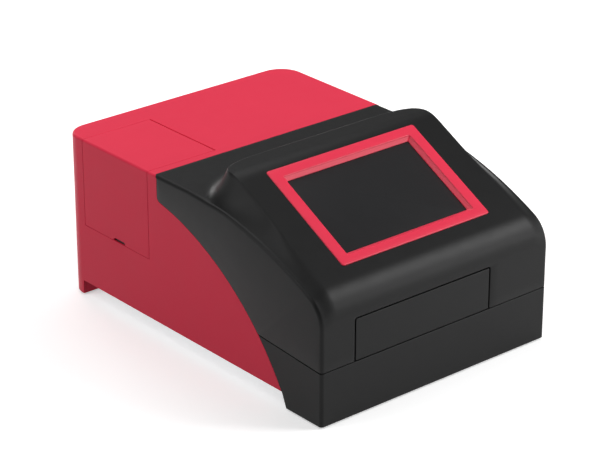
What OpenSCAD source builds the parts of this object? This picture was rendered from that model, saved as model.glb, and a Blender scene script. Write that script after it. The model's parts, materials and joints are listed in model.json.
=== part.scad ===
// Microplate reader with a plate drawer, a tilted display console and an access door.
// Every piece is drawn up from the lower edge of the case and then lifted onto its feet.
// X runs across the front, -Y is the front face and Z is up.

/* [Case] */
// Width over the side walls
case_w = 300; // [292:1:320]
// Depth from the front face to the rear face
case_d = 414; // [410:1:430]
// Height of the flat rear top above the lower edge of the case
case_h = 179; // [176:1:186]
// Height of the rubber feet below the lower edge
foot_h = 2; // [1:0.5:5]
// Height of the seam between the base and the front cover
seam_h = 58; // [56.5:0.5:62]
// Rise of that seam along the side, up to the rear housing
seam_rise = 6.3; // [4:0.1:8]
// Gap at the joints between covers
joint_gap = 0.3; // [0.1:0.05:0.5]
// Plan radius of the rear corners
corner_r = 27; // [20:1:32]
// Sheet thickness of the rear housing
skin = 2.5; // [2:0.1:3]
// Rounding of the housing's top edges
top_r = 2.5; // [1.5:0.1:4]
// Height of the housing's side edge above the lower edge of the case
side_lift = 15.7; // [14.5:0.1:17]
// Depth of the skirt and foot bar at the rear
rear_bar_d = 27; // [24:1:30]

/* [Front cover] */
// Wall of the black mouldings
cover_wall = 2.5; // [2:0.1:3]
// Rounding inside their outer edges, on top of the wall
edge_in_r = 1; // [0.6:0.1:2]
// Depth of the cover along the flat top
cover_d = 258; // [254:1:262]
// Depth of the foot bar under the front
bar_d = 58.4; // [54:0.1:64]
// Radius of the swept side joint between the black and red covers
sweep_r = 287; // [270:1:320]
// Height of the rear end of the swept joint
sweep_top = 152.4; // [148:0.1:158]
// Step of the joint's upright end ahead of the joint over the top
joint_step = 5; // [3:0.5:8]
// Length of the blend between the upright end and the sweep
sweep_blend = 5; // [3:0.5:8]
// Height at which the front face starts to curve back
nose_h = 106.3; // [105:0.1:110]
// Radius of the nose
nose_r = 35; // [32:0.5:38]
// Tilt of the display plane
tilt = 27.4; // [26:0.1:29]
// Drop of the shoulder below the display plane at the nose
shoulder_drop = 5; // [3:0.25:8]
// Depth from the front face at which the shoulder is level
shoulder_d = 215; // [205:1:225]

/* [Console] */
// Height of the console's level back
ridge_h = 207; // [205.5:0.25:210]
// Softness of the bend from the display plane to the level back
ridge_blend = 5; // [3:0.5:7]
// Width of the console's flank at each side
flank_w = 18; // [14:0.5:22]
// Hollowness of the flanks, where 1 is a straight slope
flank_power = 1.5; // [1.2:0.05:2]
// Depth from the front face at which the console's outline starts to round off
console_d = 132; // [125:1:140]
// Reach of the level back behind that line
crest_reach = 62; // [55:1:68]
// Reach of the foot of the rear slope behind that line
slope_reach = 108; // [98:1:116]

/* [Display] */
// Width of the red bezel
bezel_w = 193.7; // [185:0.1:200]
// Length of the bezel up the slope
bezel_l = 129.6; // [124:0.1:131]
// Distance of the bezel from the nose
bezel_start = 13.7; // [12:0.1:15]
// Width of the opening in the bezel
screen_w = 160; // [150:1:164]
// Length of the opening up the slope
screen_l = 100; // [92:1:102]
// Height of the bezel above the console
bezel_proud = 0.8; // [0.4:0.1:1.5]
// Depth of the glass below the console
glass_depth = 4; // [3:0.1:4.6]
// Thickness of the touch glass
glass_t = 1.8; // [1.1:0.1:2.4]
// Thickness of the display module
lcd_t = 6; // [5:0.5:8]

/* [Plate drawer] */
// Width of the drawer opening
drawer_w = 178.6; // [174:0.2:182]
// Sideways place of the drawer's centre
drawer_x = -19; // [-21:0.5:-17]
// Height of the top of the drawer opening
drawer_top = 104; // [98:0.5:104.5]
// Gap round the drawer front
drawer_gap = 0.9; // [0.5:0.1:1.2]
// Thickness of the drawer front
drawer_t = 3; // [2.5:0.1:4]
// Travel of the drawer
travel = 125; // [115:1:126]
// Length of the microplate
plate_l = 127.76; // [127:0.01:128.2]
// Width of the microplate
plate_w = 85.48; // [85:0.01:86]
// Clearance of the microplate in its pocket
plate_gap = 0.35; // [0.2:0.05:0.6]
// Thickness of the tray
tray_t = 4; // [3:0.25:5]
// Height of the rim round the pocket
rim_h = 5; // [4:0.5:8]

/* [Transport] */
// Diameter of the guide rods
rod_d = 8; // [6:0.5:10]
// Distance between the guide rods
rod_span = 156; // [153:0.5:158]
// Outer diameter of the bushings
bushing_d = 14; // [13:0.5:15]
// Radius of the toothed pulley
pulley_r = 7.7; // [7:0.1:8.2]
// Teeth of the pulley
pulley_teeth = 25; // [20:1:30]
// Width of the belt
belt_w = 6; // [5:0.5:6.5]
// Thickness of the belt
belt_t = 1.2; // [0.9:0.1:1.5]
// Side of the square drive motor
motor_s = 42.3; // [40:0.1:43]
// Length of the drive motor
motor_l = 40; // [34:1:46]

/* [Optics] */
// Number of reading channels
channels = 12; // [8:1:12]
// Pitch of the channels, which is the pitch of the wells
channel_pitch = 9; // [9:0.01:9]
// Diameter of the lenses
lens_d = 6.4; // [5:0.2:7.2]
// Height of the bridge above the tray
bridge_gap = 26; // [22:0.5:30]
// Height of the bridge's beam
bridge_h = 20; // [16:0.5:22]
// Radius of the filter wheel
wheel_r = 38; // [36:0.5:40]
// Number of filters
filters = 8; // [4:1:8]
// Diameter of a filter
filter_d = 12.7; // [11:0.1:13]
// Radius at which the filters sit
filter_pitch_r = 28; // [27:0.5:29]
// Diameter of the light guide
guide_d = 10; // [8:0.5:11]
// Distance of the light path from the left side
lamp_in = 78; // [76:0.5:80]

/* [Access door] */
// Distance of the door's hinge seam from the left side
door_in = 88; // [84:0.5:92]
// Distance of the door's front edge behind the cover joint
door_start = 10.5; // [9:0.5:13]
// Length of the door from front to back
door_l = 111.5; // [106:0.5:113]
// Height of the door's lower edge
door_low = 82; // [78:0.5:90]
// Gap round the door
door_gap = 0.4; // [0.25:0.05:0.6]
// Radius of the door's rolled hinge edge
knuckle_r = 2.4; // [2.2:0.1:3]
// Diameter of the hinge pin
hinge_pin_d = 2; // [1.5:0.1:2.2]
// Length of the finger notch
notch_l = 20; // [14:1:26]

/* [Rear] */
// Side of the square fan
fan_s = 60; // [54:1:62]
// Depth of the fan
fan_d = 25; // [18:0.5:27]
// Number of fan blades
fan_blades = 7; // [5:1:9]

/* [Hidden] */
$fn = 48;
black = [0.18, 0.18, 0.18];
red = [0.86, 0.17, 0.27];
steel = [0.72, 0.73, 0.75];
board_green = [0.05, 0.3, 0.16];
// Radial clearances of a running fit and of a pressed fit
run = 0.05;
seat = 0.02;
// Overlap that keeps joined shapes of one piece together
eps = 0.1;
// Case planes
side_x = case_w / 2;
front_y = -case_d / 2;
rear_y = case_d / 2;
edge_r = cover_wall + edge_in_r;
inner_x = side_x - max(skin, cover_wall) - joint_gap;
inner_rear = rear_y - skin - joint_gap;
split_y = front_y + cover_d;
chassis_z = side_lift - 0.7;
chassis_t = 2;
deck_z = chassis_z + chassis_t;
// Nose and shoulder of the front cover
nose_y = front_y + nose_r;
nose_end = [nose_y - nose_r * sin(tilt), nose_h + nose_r * cos(tilt)];
shoulder_y = front_y + shoulder_d;
shoulder_fall = case_h - nose_end.y + shoulder_drop;
shoulder_run = shoulder_y - nose_end.x;
shoulder_r = (pow(shoulder_run, 2) + pow(shoulder_fall, 2)) / (2 * shoulder_fall);
console_y = front_y + console_d;
// Swept joint between the black and red covers, a circle in the side view
sweep_a = [split_y - joint_step, sweep_top];
sweep_b = [front_y + bar_d, side_lift - 1.1];
sweep_chord = norm(sweep_b - sweep_a);
sweep_n = [sweep_a.y - sweep_b.y, sweep_b.x - sweep_a.x] / sweep_chord;
sweep_c = (sweep_a + sweep_b) / 2 + sweep_n * sqrt(pow(sweep_r, 2) - pow(sweep_chord / 2, 2));
bar_slant = 6;
// Display, in the console's tilted frame
slope_mid = bezel_start + bezel_l / 2;
slope_o = [nose_end.x + slope_mid * cos(tilt), nose_end.y + slope_mid * sin(tilt)];
screen_off = -0.6;
flange_t = 1.2;
collar_w = screen_w + 18;
collar_l = screen_l + 16;
glass_w = screen_w + 8;
glass_l = screen_l + 8;
collar_depth = glass_depth + glass_t + 0.4;
// Drawer and tray
tray_z = seam_h + 4;
tray_top = tray_z + tray_t;
tray_w = drawer_w - 20.6;
tray_front = front_y + drawer_t;
pocket_l = plate_l + 2 * plate_gap;
pocket_w = plate_w + 2 * plate_gap;
pocket_y = front_y + 58;
pocket_z = tray_top - 2;
rim_t = 5;
// Guide rods and carriage
rod_z = tray_z - 16;
rod_x = rod_span / 2;
support_t = 10;
support_front = front_y + 7;
block_front = support_front + support_t + 5 + travel;
block_l = 40;
block_rear = block_front + block_l;
support_rear = block_rear + 60;
bushing_l = 16;
// Belt drive
belt_z = tray_z - 21;
belt_in = pulley_r + 0.1;
motor_y = support_rear - 10;
idler_y = support_front + 15;
pulley_w = 9;
// Optics
lamp_x = lamp_in - side_x;
bridge_y = pocket_y - 26;
bridge_z = tray_top + bridge_gap;
bridge_d = 26;
path_z = bridge_z + bridge_h / 2;
board_z = tray_z - 9;
wheel_x = lamp_x - filter_pitch_r;
wheel_y = split_y + 50;
wheel_t = 6;
bracket_front = wheel_y - 9;
bracket_rear = wheel_y + 7;
bracket_t = 3;
lamp_y = bracket_rear + bracket_t;
lamp_l = 54;
// Door
door_x = door_in - side_x;
door_y1 = split_y + door_start;
door_y2 = door_y1 + door_l;
pivot_x = door_x - 0.3 - knuckle_r;
pivot_z = case_h - knuckle_r;
notch_y = (door_y1 + door_y2) / 2 - 4.8;
// Rear wall
fan_y = inner_rear - fan_d;
fan_hole = fan_s / 2 - 1.5;
panel_t = 1.5;
panel_w = 122.2;
panel_x = [inner_x - 29 - panel_w, inner_x - 29];
panel_z = [22, 62];
panel_y = inner_rear;

// Helpers

// Lift a piece from the lower edge of the case onto the feet
module on_feet() {
  translate([0, 0, foot_h]) children();
}

// Box between two opposite corners
module box(a, b) {
  translate(a) cube(b - a);
}

// Round bar along X, Y or Z between two values of that axis
module bar_x(r, x1, x2, y, z) {
  translate([x1, y, z]) rotate([0, 90, 0]) cylinder(r = r, h = x2 - x1);
}
module bar_y(r, x, y1, y2, z) {
  translate([x, y2, z]) rotate([90, 0, 0]) cylinder(r = r, h = y2 - y1);
}
module bar_z(r, x, y, z1, z2) {
  translate([x, y, z1]) cylinder(r = r, h = z2 - z1);
}

// Extrude a side view, drawn in Y and Z, across X
module across(w) {
  rotate([90, 0, 90]) linear_extrude(height = w, center = true) children();
}

// Extrude a front view, drawn in X and Z, from y1 to y2
module from_to(y1, y2) {
  translate([0, y2, 0]) rotate([90, 0, 0]) linear_extrude(height = y2 - y1) children();
}

// Rectangle with four round corners, centred
module round_rect(w, l, r) {
  square([w - 2 * r, l], center = true);
  square([w, l - 2 * r], center = true);
  for (x = [-1, 1], y = [-1, 1]) translate([x * (w / 2 - r), y * (l / 2 - r)]) circle(r);
}

// Racetrack round two centres on the first axis
module racetrack(x1, x2, r) {
  translate([x1, 0]) circle(r);
  translate([x2, 0]) circle(r);
  translate([x1, -r]) square([x2 - x1, 2 * r]);
}

// Plan of the whole case, moved in from its walls
module plan(inset) {
  w = side_x - inset;
  f = front_y + inset;
  b = rear_y - inset;
  rf = max(edge_r - inset, 0.4);
  rb = corner_r - inset;
  translate([-w, f + rf]) square([2 * w, b - rb - f - rf]);
  translate([-w + rf, f]) square([2 * (w - rf), rf + 1]);
  translate([-w + rb, b - rb - 1]) square([2 * (w - rb), rb + 1]);
  for (s = [-1, 1]) {
    translate([s * (w - rf), f + rf]) circle(rf);
    translate([s * (w - rb), b - rb]) circle(rb);
  }
}

// Functions

function mix(a, b, t) = a + (b - a) * t;
function smooth_min(a, b, k) = let (h = max(0, k - abs(a - b)) / k) min(a, b) - h * h * k / 4;
function power_norm(u, v, n) = pow(pow(u, n) + pow(v, n), 1 / n);
function sweep_y(z, r) = sweep_c.x - sqrt(pow(r, 2) - pow(z - sweep_c.y, 2));
meet_z = seam_h + seam_rise;
meet_y = sweep_y(meet_z, sweep_r);
function seam_at(y) = seam_h + seam_rise * max(0, y - front_y - edge_r) / (meet_y - front_y - edge_r);

// Height of the level shoulder and of the console over it
function shoulder_z(y) =
  y > shoulder_y ? case_h : case_h - shoulder_r + sqrt(pow(shoulder_r, 2) - pow(y - shoulder_y, 2));
function console_z(y) =
  smooth_min(nose_end.y + tan(tilt) * (y - nose_end.x), ridge_h, ridge_blend);

// Squareness of the rounded corners of the crest and of the foot, in plan
crest_power = 4;
foot_power = 2.2;

// Place between the console's crest, 0, and its foot, 1
function flank_at(x, y) =
  let (dy = max(0, y - console_y),
       crest = power_norm(abs(x) / (side_x - flank_w), dy / crest_reach, crest_power),
       foot = power_norm(abs(x) / side_x, dy / slope_reach, foot_power))
  crest <= foot + 0.000001 ? 0 : min(1, max(0, (crest - 1) * foot / (crest - foot)));
function console_share(x, y) = pow(1 - flank_at(x, y), flank_power);
function cover_z(x, y) =
  shoulder_z(y) + max(0, console_z(y) - shoulder_z(y)) * console_share(x, y);

// Front cover: one lofted skin, drawn once outside and once inside its wall.
// Rows run from the seam up the front, round the nose and back over the top.
nose_steps = 8;
slope_steps = 5;
crest_steps = 7;
back_steps = 7;
front_rows = nose_steps + 2;
rows = front_rows + slope_steps + crest_steps + back_steps;
// Columns of one half: from the middle to the crest, down the flank and round the edge
crest_cols = 6;
flank_cols = 7;
edge_cols = 3;
half = crest_cols + flank_cols + edge_cols + 1;
cols = 2 * half + 1;

crest_y = console_y + crest_reach;
function row_y(i) =
  let (n = i - front_rows + 1)
  n < slope_steps ? mix(nose_end.x, console_y, n / slope_steps)
    : n < slope_steps + crest_steps ? mix(console_y, crest_y, sin(90 * (n - slope_steps) / crest_steps))
    : mix(crest_y, split_y, (n - slope_steps - crest_steps) / back_steps);

// Half width of the crest at depth y: the columns follow its rounded outline
function crest_x(y) =
  let (t = min(1, max(0, y - console_y) / crest_reach))
  (side_x - flank_w) * max(0.5, pow(1 - pow(t, crest_power), 1 / crest_power));

// Sideways place of a column, and how far the round edge has turned there
function col_x(k, y) =
  k <= crest_cols ? crest_x(y) * sin(90 * k / crest_cols)
    : mix(crest_x(y), side_x - edge_r, min(1, (k - crest_cols) / flank_cols));
function col_turn(k) = max(0, k - crest_cols - flank_cols) * 90 / edge_cols;

// Point of the outer skin's section at x, in row i, as [y, z], and its normal
function nose_turn(i) = 180 - (90 - tilt) * (i - 1) / nose_steps;
function nose_low(x) = nose_h - shoulder_drop * (1 - console_share(x, nose_end.x));
function section(x, i) =
  i == 0 ? [front_y, seam_h]
    : i < front_rows ? [nose_y, nose_low(x)] + nose_r * [cos(nose_turn(i)), sin(nose_turn(i))]
    : [row_y(i), cover_z(x, row_y(i))];
function fall(x, i) = (cover_z(x, row_y(i) + 0.5) - cover_z(x, row_y(i) - 0.5));
function lean(x, i) = (cover_z(x + 0.5, row_y(i)) - cover_z(x - 0.5, row_y(i)));
function section_n(x, i) =
  i == 0 ? [-1, 0]
    : i < front_rows ? [cos(nose_turn(i)), sin(nose_turn(i))]
    : [-fall(x, i), 1] / norm([fall(x, i), 1]);
// Depth of the inner skin under the outer one, square to the surface
function under(x, i, wall) =
  i < front_rows ? -wall * section_n(x, i)
    : [0, -wall * sqrt(1 + pow(fall(x, i), 2) + pow(lean(x, i), 2))];

// Lower edge of the side wall in row i: along the seam, then up the swept joint
function sweep_turn(p) = (atan2(p.y - sweep_c.y, p.x - sweep_c.x) + 360) % 360;
// Turn at which the sweep leaves its circle for the upright end
blend_turn = sweep_turn(sweep_a) + sweep_blend / sweep_r * 180 / PI;
function lower_edge(i) =
  i < front_rows
    ? let (y = mix(front_y + edge_r + 2, meet_y, i / (front_rows - 1))) [y, seam_at(y)]
    : let (t = (i - front_rows + 1) / (rows - front_rows),
           a = mix(sweep_turn([meet_y, meet_z]), blend_turn,
             min(1, t * (rows - front_rows) / (rows - front_rows - 1))))
      i == rows - 1 ? sweep_a + [0, sweep_blend] : sweep_c + sweep_r * [cos(a), sin(a)];

// Grid point of row i and column k of the right half, outside (wall 0) or inside
function skin_point(i, k, wall) =
  k == half ? concat([side_x - wall], lower_edge(i))
    : k <= crest_cols + flank_cols
      ? let (x = col_x(k, i < front_rows ? nose_end.x : row_y(i)))
        concat([x], section(x, i) + under(x, i, wall))
      : let (r = edge_r - wall, a = col_turn(k), x = side_x - edge_r)
        concat([x + r * sin(a)], section(x, i) - (edge_r - r * cos(a)) * section_n(x, i));
function mirrored(p, s) = [p.x * s, p.y, p.z];
// The joint slants from the top, round the edge, to its upright end on the side
function joint_y(x, z) =
  split_y - joint_step * min(1, max(0, (abs(x) - side_x + edge_r + case_h - z) / (2 * edge_r)));
// The last row ends at the joint, inside as outside
function trimmed(p, outer) = [p.x, min(p.y, joint_y(p.x, p.z), joint_y(outer.x, outer.z)), p.z];
function grid_point(i, k, wall) =
  i < rows - 1 ? skin_point(i, k, wall) : trimmed(skin_point(i, k, wall), skin_point(i, k, 0));
function skin_grid(wall) = [
  for (i = [0:rows - 1], j = [0:cols - 1])
    let (s = j < half ? -1 : 1) mirrored(grid_point(i, abs(j - half), wall), s)];
// Two triangles for each cell of a grid, seen clockwise from outside
function cells(a, b, c, d) = [[a, b, c], [a, c, d]];
function flat_list(l) = [for (a = l) each a];

module cover_loft() {
  n = rows * cols;
  function at(i, j) = i * cols + j;
  outer = flat_list([for (i = [0:rows - 2], j = [0:cols - 2])
    cells(at(i, j), at(i + 1, j), at(i + 1, j + 1), at(i, j + 1))]);
  inner = flat_list([for (i = [0:rows - 2], j = [0:cols - 2])
    cells(n + at(i, j), n + at(i, j + 1), n + at(i + 1, j + 1), n + at(i + 1, j))]);
  low = flat_list([for (j = [0:cols - 2])
    cells(at(0, j), at(0, j + 1), n + at(0, j + 1), n + at(0, j))]);
  high = flat_list([for (j = [0:cols - 2])
    cells(at(rows - 1, j), n + at(rows - 1, j), n + at(rows - 1, j + 1), at(rows - 1, j + 1))]);
  left = flat_list([for (i = [0:rows - 2])
    cells(at(i, 0), n + at(i, 0), n + at(i + 1, 0), at(i + 1, 0))]);
  right = flat_list([for (i = [0:rows - 2])
    let (j = cols - 1) cells(at(i, j), at(i + 1, j), n + at(i + 1, j), n + at(i, j))]);
  polyhedron(points = concat(skin_grid(0), skin_grid(cover_wall)),
    faces = concat(outer, inner, low, high, left, right), convexity = 8);
}

// Place children in the display's frame: x across, y up the slope, z out of the console
module on_slope() {
  translate([0, slope_o.x, slope_o.y]) rotate([tilt, 0, 0]) children();
}

// Slab in the display's frame with round corners
module slope_slab(w, l, r, z1, z2) {
  translate([0, 0, z1]) linear_extrude(height = z2 - z1) round_rect(w, l, r);
}

// Front view of the drawer opening, made smaller by gap
module drawer_shape(gap) {
  w = drawer_w / 2 - gap;
  r = 3 - gap;
  top = drawer_top - gap;
  translate([drawer_x, 0]) {
    translate([-w, seam_h + joint_gap]) square([2 * w, top - r - seam_h - joint_gap]);
    translate([-w + r, top - r - 1]) square([2 * (w - r), r + 1]);
    for (s = [-1, 1]) translate([s * (w - r), top - r]) circle(r);
  }
}

module front_cover() {
  color(black) on_feet() difference() {
    cover_loft();
    cover_opening();
    on_slope() {
      slope_slab(bezel_w + 2 * joint_gap, bezel_l + 2 * joint_gap, 3, -flange_t, 12);
      slope_slab(collar_w + 2 * joint_gap, collar_l + 2 * joint_gap, 2, -20, 1);
    }
  }
}

// Drawer opening, cut through the cover's front wall down to the seam
module cover_opening() {
  from_to(front_y - 1, front_y + cover_wall + 1) {
    drawer_shape(0);
    translate([drawer_x - drawer_w / 2, seam_h - 2]) square([drawer_w, 4]);
  }
}

// Side view of the base: front face, seam, swept joint, slanted end of the foot bar
module base_side() {
  steps = 8;
  polygon(concat(
    [[front_y, 0], [front_y, seam_h - joint_gap], [front_y + edge_r, seam_h - joint_gap]],
    [for (i = [0:steps])
      let (z = mix(meet_z - joint_gap, sweep_b.y, i / steps)) [sweep_y(z, sweep_r), z]],
    [[sweep_b.x - bar_slant, 0]]));
}

// Places of the screws that hold the base and the rear bar to the chassis
screw_x = side_x - 32;
screw_rows = [front_y + 14, front_y + 42, rear_y - 14];

module base_shell() {
  color(black) on_feet() {
    difference() {
      intersection() {
        linear_extrude(height = case_h) plan(0);
        across(case_w + 2) base_side();
      }
      difference() {
        translate([0, 0, cover_wall]) linear_extrude(height = case_h) plan(cover_wall);
        across(case_w) polygon([[sweep_b.x - bar_slant - cover_wall, 0],
          [sweep_b.x - cover_wall, sweep_b.y], [sweep_b.x + 20, sweep_b.y], [sweep_b.x + 20, 0]]);
      }
      for (s = [-1, 1], y = [screw_rows[0], screw_rows[1]]) bar_z(3.4, s * screw_x, y, -1, 3);
      front_foot_holes();
    }
    for (s = [-1, 1], y = [screw_rows[0], screw_rows[1]]) screw_boss(s * screw_x, y);
  }
}

// Boss with a clearance hole and a counterbore for a screw from below
module screw_boss(x, y) {
  difference() {
    bar_z(5.5, x, y, 0, chassis_z);
    bar_z(1.7, x, y, -1, chassis_z + 1);
    bar_z(3.4, x, y, -1, 3);
  }
}

foot_x = side_x - 55;
foot_rows = [front_y + 22, rear_y - 14];
module front_foot_holes() {
  for (s = [-1, 1]) bar_z(2.5 + seat, s * foot_x, foot_rows[0], -1, cover_wall + 1);
}

// Side view of the red housing, with the swept front edge and a round rear top edge
module housing_side() {
  steps = 14;
  r = sweep_r - joint_gap;
  polygon(concat(
    [[sweep_a.x + joint_gap, case_h], [sweep_a.x + joint_gap, sweep_top + sweep_blend]],
    [for (i = [0:steps])
      let (a = mix(blend_turn, 180 - asin((side_lift - sweep_c.y) / r), i / steps))
      sweep_c + r * [cos(a), sin(a)]],
    [[rear_y - rear_bar_d, side_lift], [rear_y - rear_bar_d, 0], [rear_y + 1, 0]],
    [[rear_y + 1, case_h - top_r]],
    [for (a = [0:15:90]) [rear_y - top_r + top_r * cos(a), case_h - top_r + top_r * sin(a)]]));
}

// Front view of the housing with round top edges
module housing_front() {
  translate([-side_x, -1]) square([2 * side_x, case_h - top_r + 1]);
  translate([-side_x + top_r, -1]) square([2 * (side_x - top_r), case_h + 1]);
  for (s = [-1, 1]) translate([s * (side_x - top_r), case_h - top_r]) circle(top_r);
}

// The red skin without its openings
module housing_skin() {
  difference() {
    intersection() {
      linear_extrude(height = case_h) plan(0);
      across(case_w + 2) housing_side();
      from_to(front_y - 1, rear_y + 1) housing_front();
    }
    translate([0, 0, -1]) linear_extrude(height = case_h - skin + 1) plan(skin);
    for (s = [-1, 1]) joint_cut(s);
  }
}

// Cutter of the joint over the top: level to the top edge, then slanted to the side's upright end
module joint_cut(s) {
  y = split_y + joint_gap;
  slant = edge_r * sqrt(2);
  past = 1.4;
  half = side_x / sqrt(2);
  translate([s * (side_x - edge_r), 0, case_h]) rotate([0, s * 45, 0]) translate([0, 0, -half])
    linear_extrude(height = half + edge_r + 2)
      polygon([[-s * half, front_y], [-s * half, y], [0, y], [s * slant * past, y - joint_step * past],
        [s * slant * past, front_y]]);
}

// Space of the access door: over the top edge and down the side, made smaller by gap
module door_space(gap, right) {
  y1 = door_y1 + gap;
  y2 = door_y2 - gap;
  box([-side_x - 1, y1, case_h - skin - 1], [right, y2, case_h + 1]);
  box([-side_x - 1, y1, door_low + gap], [-side_x + skin + 1, y2, case_h + 1]);
}

module rear_housing() {
  color(red) on_feet() {
    difference() {
      housing_skin();
      door_space(0, door_x);
      bar_y(fan_hole + 2, lamp_x, rear_y - 10, rear_y + 1, path_z);
      box([panel_x[0] + 4, rear_y - 10, panel_z[0] + 4],
        [panel_x[1] - 4, rear_y + 1, panel_z[1] - 4]);
      hinge_bores();
    }
    difference() {
      for (y = [door_y1 - 7, door_y2 + 0.3])
        box([pivot_x - 3, y, pivot_z - 3], [pivot_x + 3, y + 6.7, case_h - skin + eps]);
      hinge_bores();
    }
  }
}

module hinge_bores() {
  bar_y(hinge_pin_d / 2 + seat, pivot_x, door_y1 - 6, door_y2 + 6, pivot_z);
}

module access_door() {
  color(red) on_feet() difference() {
    union() {
      intersection() {
        housing_skin();
        door_space(door_gap, pivot_x);
      }
      bar_y(knuckle_r, pivot_x, door_y1 + door_gap, door_y2 - door_gap, pivot_z);
      for (y = [door_y1 + 7, door_y2 - 8.5])
        box([-side_x + 7, y, case_h - skin - 5], [pivot_x - 10, y + 1.5, case_h - skin + eps]);
    }
    bar_y(hinge_pin_d / 2 + run, pivot_x, door_y1, door_y2, pivot_z);
    door_notch();
  }
}

// Finger notch in the door's lower edge
module door_notch() {
  x = -side_x - 1;
  r = 3;
  box([x, notch_y - notch_l / 2 + r, door_low - 1],
    [x + skin + 2, notch_y + notch_l / 2 - r, door_low + 5]);
  for (s = [-1, 1]) bar_x(r, x, x + skin + 2, notch_y + s * (notch_l / 2 - r), door_low + 2);
}

frame_out = 6;
frame_in = 5;
frame_t = 3;
module door_frame() {
  x1 = -inner_x;
  top = case_h - skin - joint_gap;
  y1 = door_y1 - frame_out;
  y2 = door_y2 + frame_out;
  color(black) on_feet() difference() {
    union() {
      box([x1, y1, door_low - frame_out], [x1 + frame_t, y2, top]);
      box([x1, y1, top - frame_t], [pivot_x - 8, y2, top]);
    }
    box([x1 - 1, door_y1 + frame_in, door_low + frame_in], [pivot_x, door_y2 - frame_in, top + 1]);
    magnet_block(0.1);
  }
}

module magnet_block(gap) {
  box([-inner_x + 0.2 - gap, notch_y - 6 - gap, door_low - 4.5 - gap],
    [-inner_x + 5 + gap, notch_y + 6 + gap, door_low - 0.5 + gap]);
}
module door_magnet() {
  color("dimgray") on_feet() magnet_block(0);
}
module door_pin() {
  color(steel) on_feet() bar_y(hinge_pin_d / 2, pivot_x, door_y1 - 5.7, door_y2 + 5.7, pivot_z);
}

module rear_foot_bar() {
  color(red) on_feet() difference() {
    intersection() {
      linear_extrude(height = chassis_z) plan(skin + joint_gap);
      box([-side_x, rear_y - rear_bar_d + joint_gap, -1], [side_x, rear_y, chassis_z + 1]);
    }
    difference() {
      intersection() {
        translate([0, 0, 3]) linear_extrude(height = chassis_z) plan(skin + 3);
        box([-side_x, rear_y - rear_bar_d + 3, 0], [side_x, rear_y, chassis_z + 1]);
      }
      for (s = [-1, 1]) bar_z(5.5, s * screw_x, screw_rows[2], 0, chassis_z);
      for (x = [-70, 0, 70]) box([x - 1, rear_y - rear_bar_d, 0], [x + 1, rear_y, chassis_z]);
    }
    for (s = [-1, 1]) {
      bar_z(1.7, s * screw_x, screw_rows[2], -1, chassis_z + 1);
      bar_z(3.4, s * screw_x, screw_rows[2], -1, 3);
      bar_z(2.5 + seat, s * foot_x, foot_rows[1], -1, 4);
    }
  }
}

// Rubber foot: a chamfered disc with a stem that is pressed into the base
module rubber_foot() {
  rotate_extrude() polygon([[0, -foot_h], [8, -foot_h], [9, -foot_h / 2], [9, 0], [2.5, 0],
    [2.5, 2.4], [0, 2.4]]);
}
module rubber_feet() {
  color("dimgray") on_feet() for (s = [-1, 1], y = foot_rows) translate([s * foot_x, y, 0]) rubber_foot();
}

// Pan-head screw from below, with its head's seat at z
module screw_up(x, y, z, length) {
  bar_z(1.5, x, y, z - eps, z + length);
  translate([x, y, z - 2]) rotate_extrude()
    polygon([[0, 0.5], [0.7, 0.5], [0.7, 0], [2.4, 0], [3, 0.7], [3, 2], [0, 2]]);
}
module base_screws() {
  seat_z = 3;
  color(steel) on_feet()
    for (s = [-1, 1], y = screw_rows) screw_up(s * screw_x, y, seat_z, deck_z - seat_z);
}

// Main board and its place
board = [[-48, split_y + 12], [28, split_y + 126]];
standoff_h = 7;
board_holes = [for (x = [board[0].x + 4, board[1].x - 4], y = [board[0].y + 4, board[1].y - 4]) [x, y]];

module chassis() {
  flange = 1.5;
  color(steel) on_feet() difference() {
    union() {
      intersection() {
        translate([0, 0, chassis_z]) linear_extrude(height = chassis_t)
          plan(max(skin, cover_wall) + joint_gap);
        box([-side_x, front_y + 5, 0], [side_x, rear_y, case_h]);
      }
      for (s = [-1, 1]) translate([s * (inner_x - flange / 2), 0, 0])
        box([-flange / 2, sweep_b.x + 10, chassis_z], [flange / 2, rear_y - 60, chassis_z + 15]);
      for (p = board_holes) bar_z(3, p.x, p.y, deck_z - eps, deck_z + standoff_h);
    }
    for (s = [-1, 1], y = screw_rows) bar_z(1.6, s * screw_x, y, 0, case_h);
    for (p = board_holes) bar_z(1.25, p.x, p.y, 0, case_h);
    for (y = [split_y + 20:14:split_y + 76]) box([-side_x + 20, y, 0], [-side_x + 28, y + 6, deck_z + 1]);
  }
}

// Red bezel: a flange on the console, a collar through it and a lip over the glass
module display_bezel() {
  color(red) on_feet() on_slope() difference() {
    union() {
      slope_slab(bezel_w, bezel_l, 2.7, -flange_t, bezel_proud);
      slope_slab(collar_w, collar_l, 2, -collar_depth, -flange_t + eps);
    }
    translate([0, screen_off, 0]) {
      slope_slab(screen_w, screen_l, 1.5, -collar_depth - 1, bezel_proud + 1);
      slope_slab(glass_w + 0.6, glass_l + 0.6, 1, -collar_depth - 1, -glass_depth);
      bezel_bevel();
    }
  }
}

// Slanted inner walls of the bezel
module bezel_bevel() {
  grow = 2.2;
  low = -glass_depth + 0.8;
  for (s = [-1, 1]) {
    rotate([90, 0, 0]) linear_extrude(height = screen_l, center = true)
      polygon([[s * (screen_w / 2 - 1), low], [s * screen_w / 2, low],
        [s * (screen_w / 2 + grow), bezel_proud + eps], [s * (screen_w / 2 - 1), bezel_proud + eps]]);
    rotate([90, 0, 90]) linear_extrude(height = screen_w, center = true)
      polygon([[s * (screen_l / 2 - 1), low], [s * screen_l / 2, low],
        [s * (screen_l / 2 + grow), bezel_proud + eps], [s * (screen_l / 2 - 1), bezel_proud + eps]]);
  }
}

module touch_glass() {
  color([0.16, 0.16, 0.17]) on_feet() on_slope() translate([0, screen_off, 0])
    slope_slab(glass_w, glass_l, 0.8, -glass_depth - glass_t, -glass_depth);
}

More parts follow.
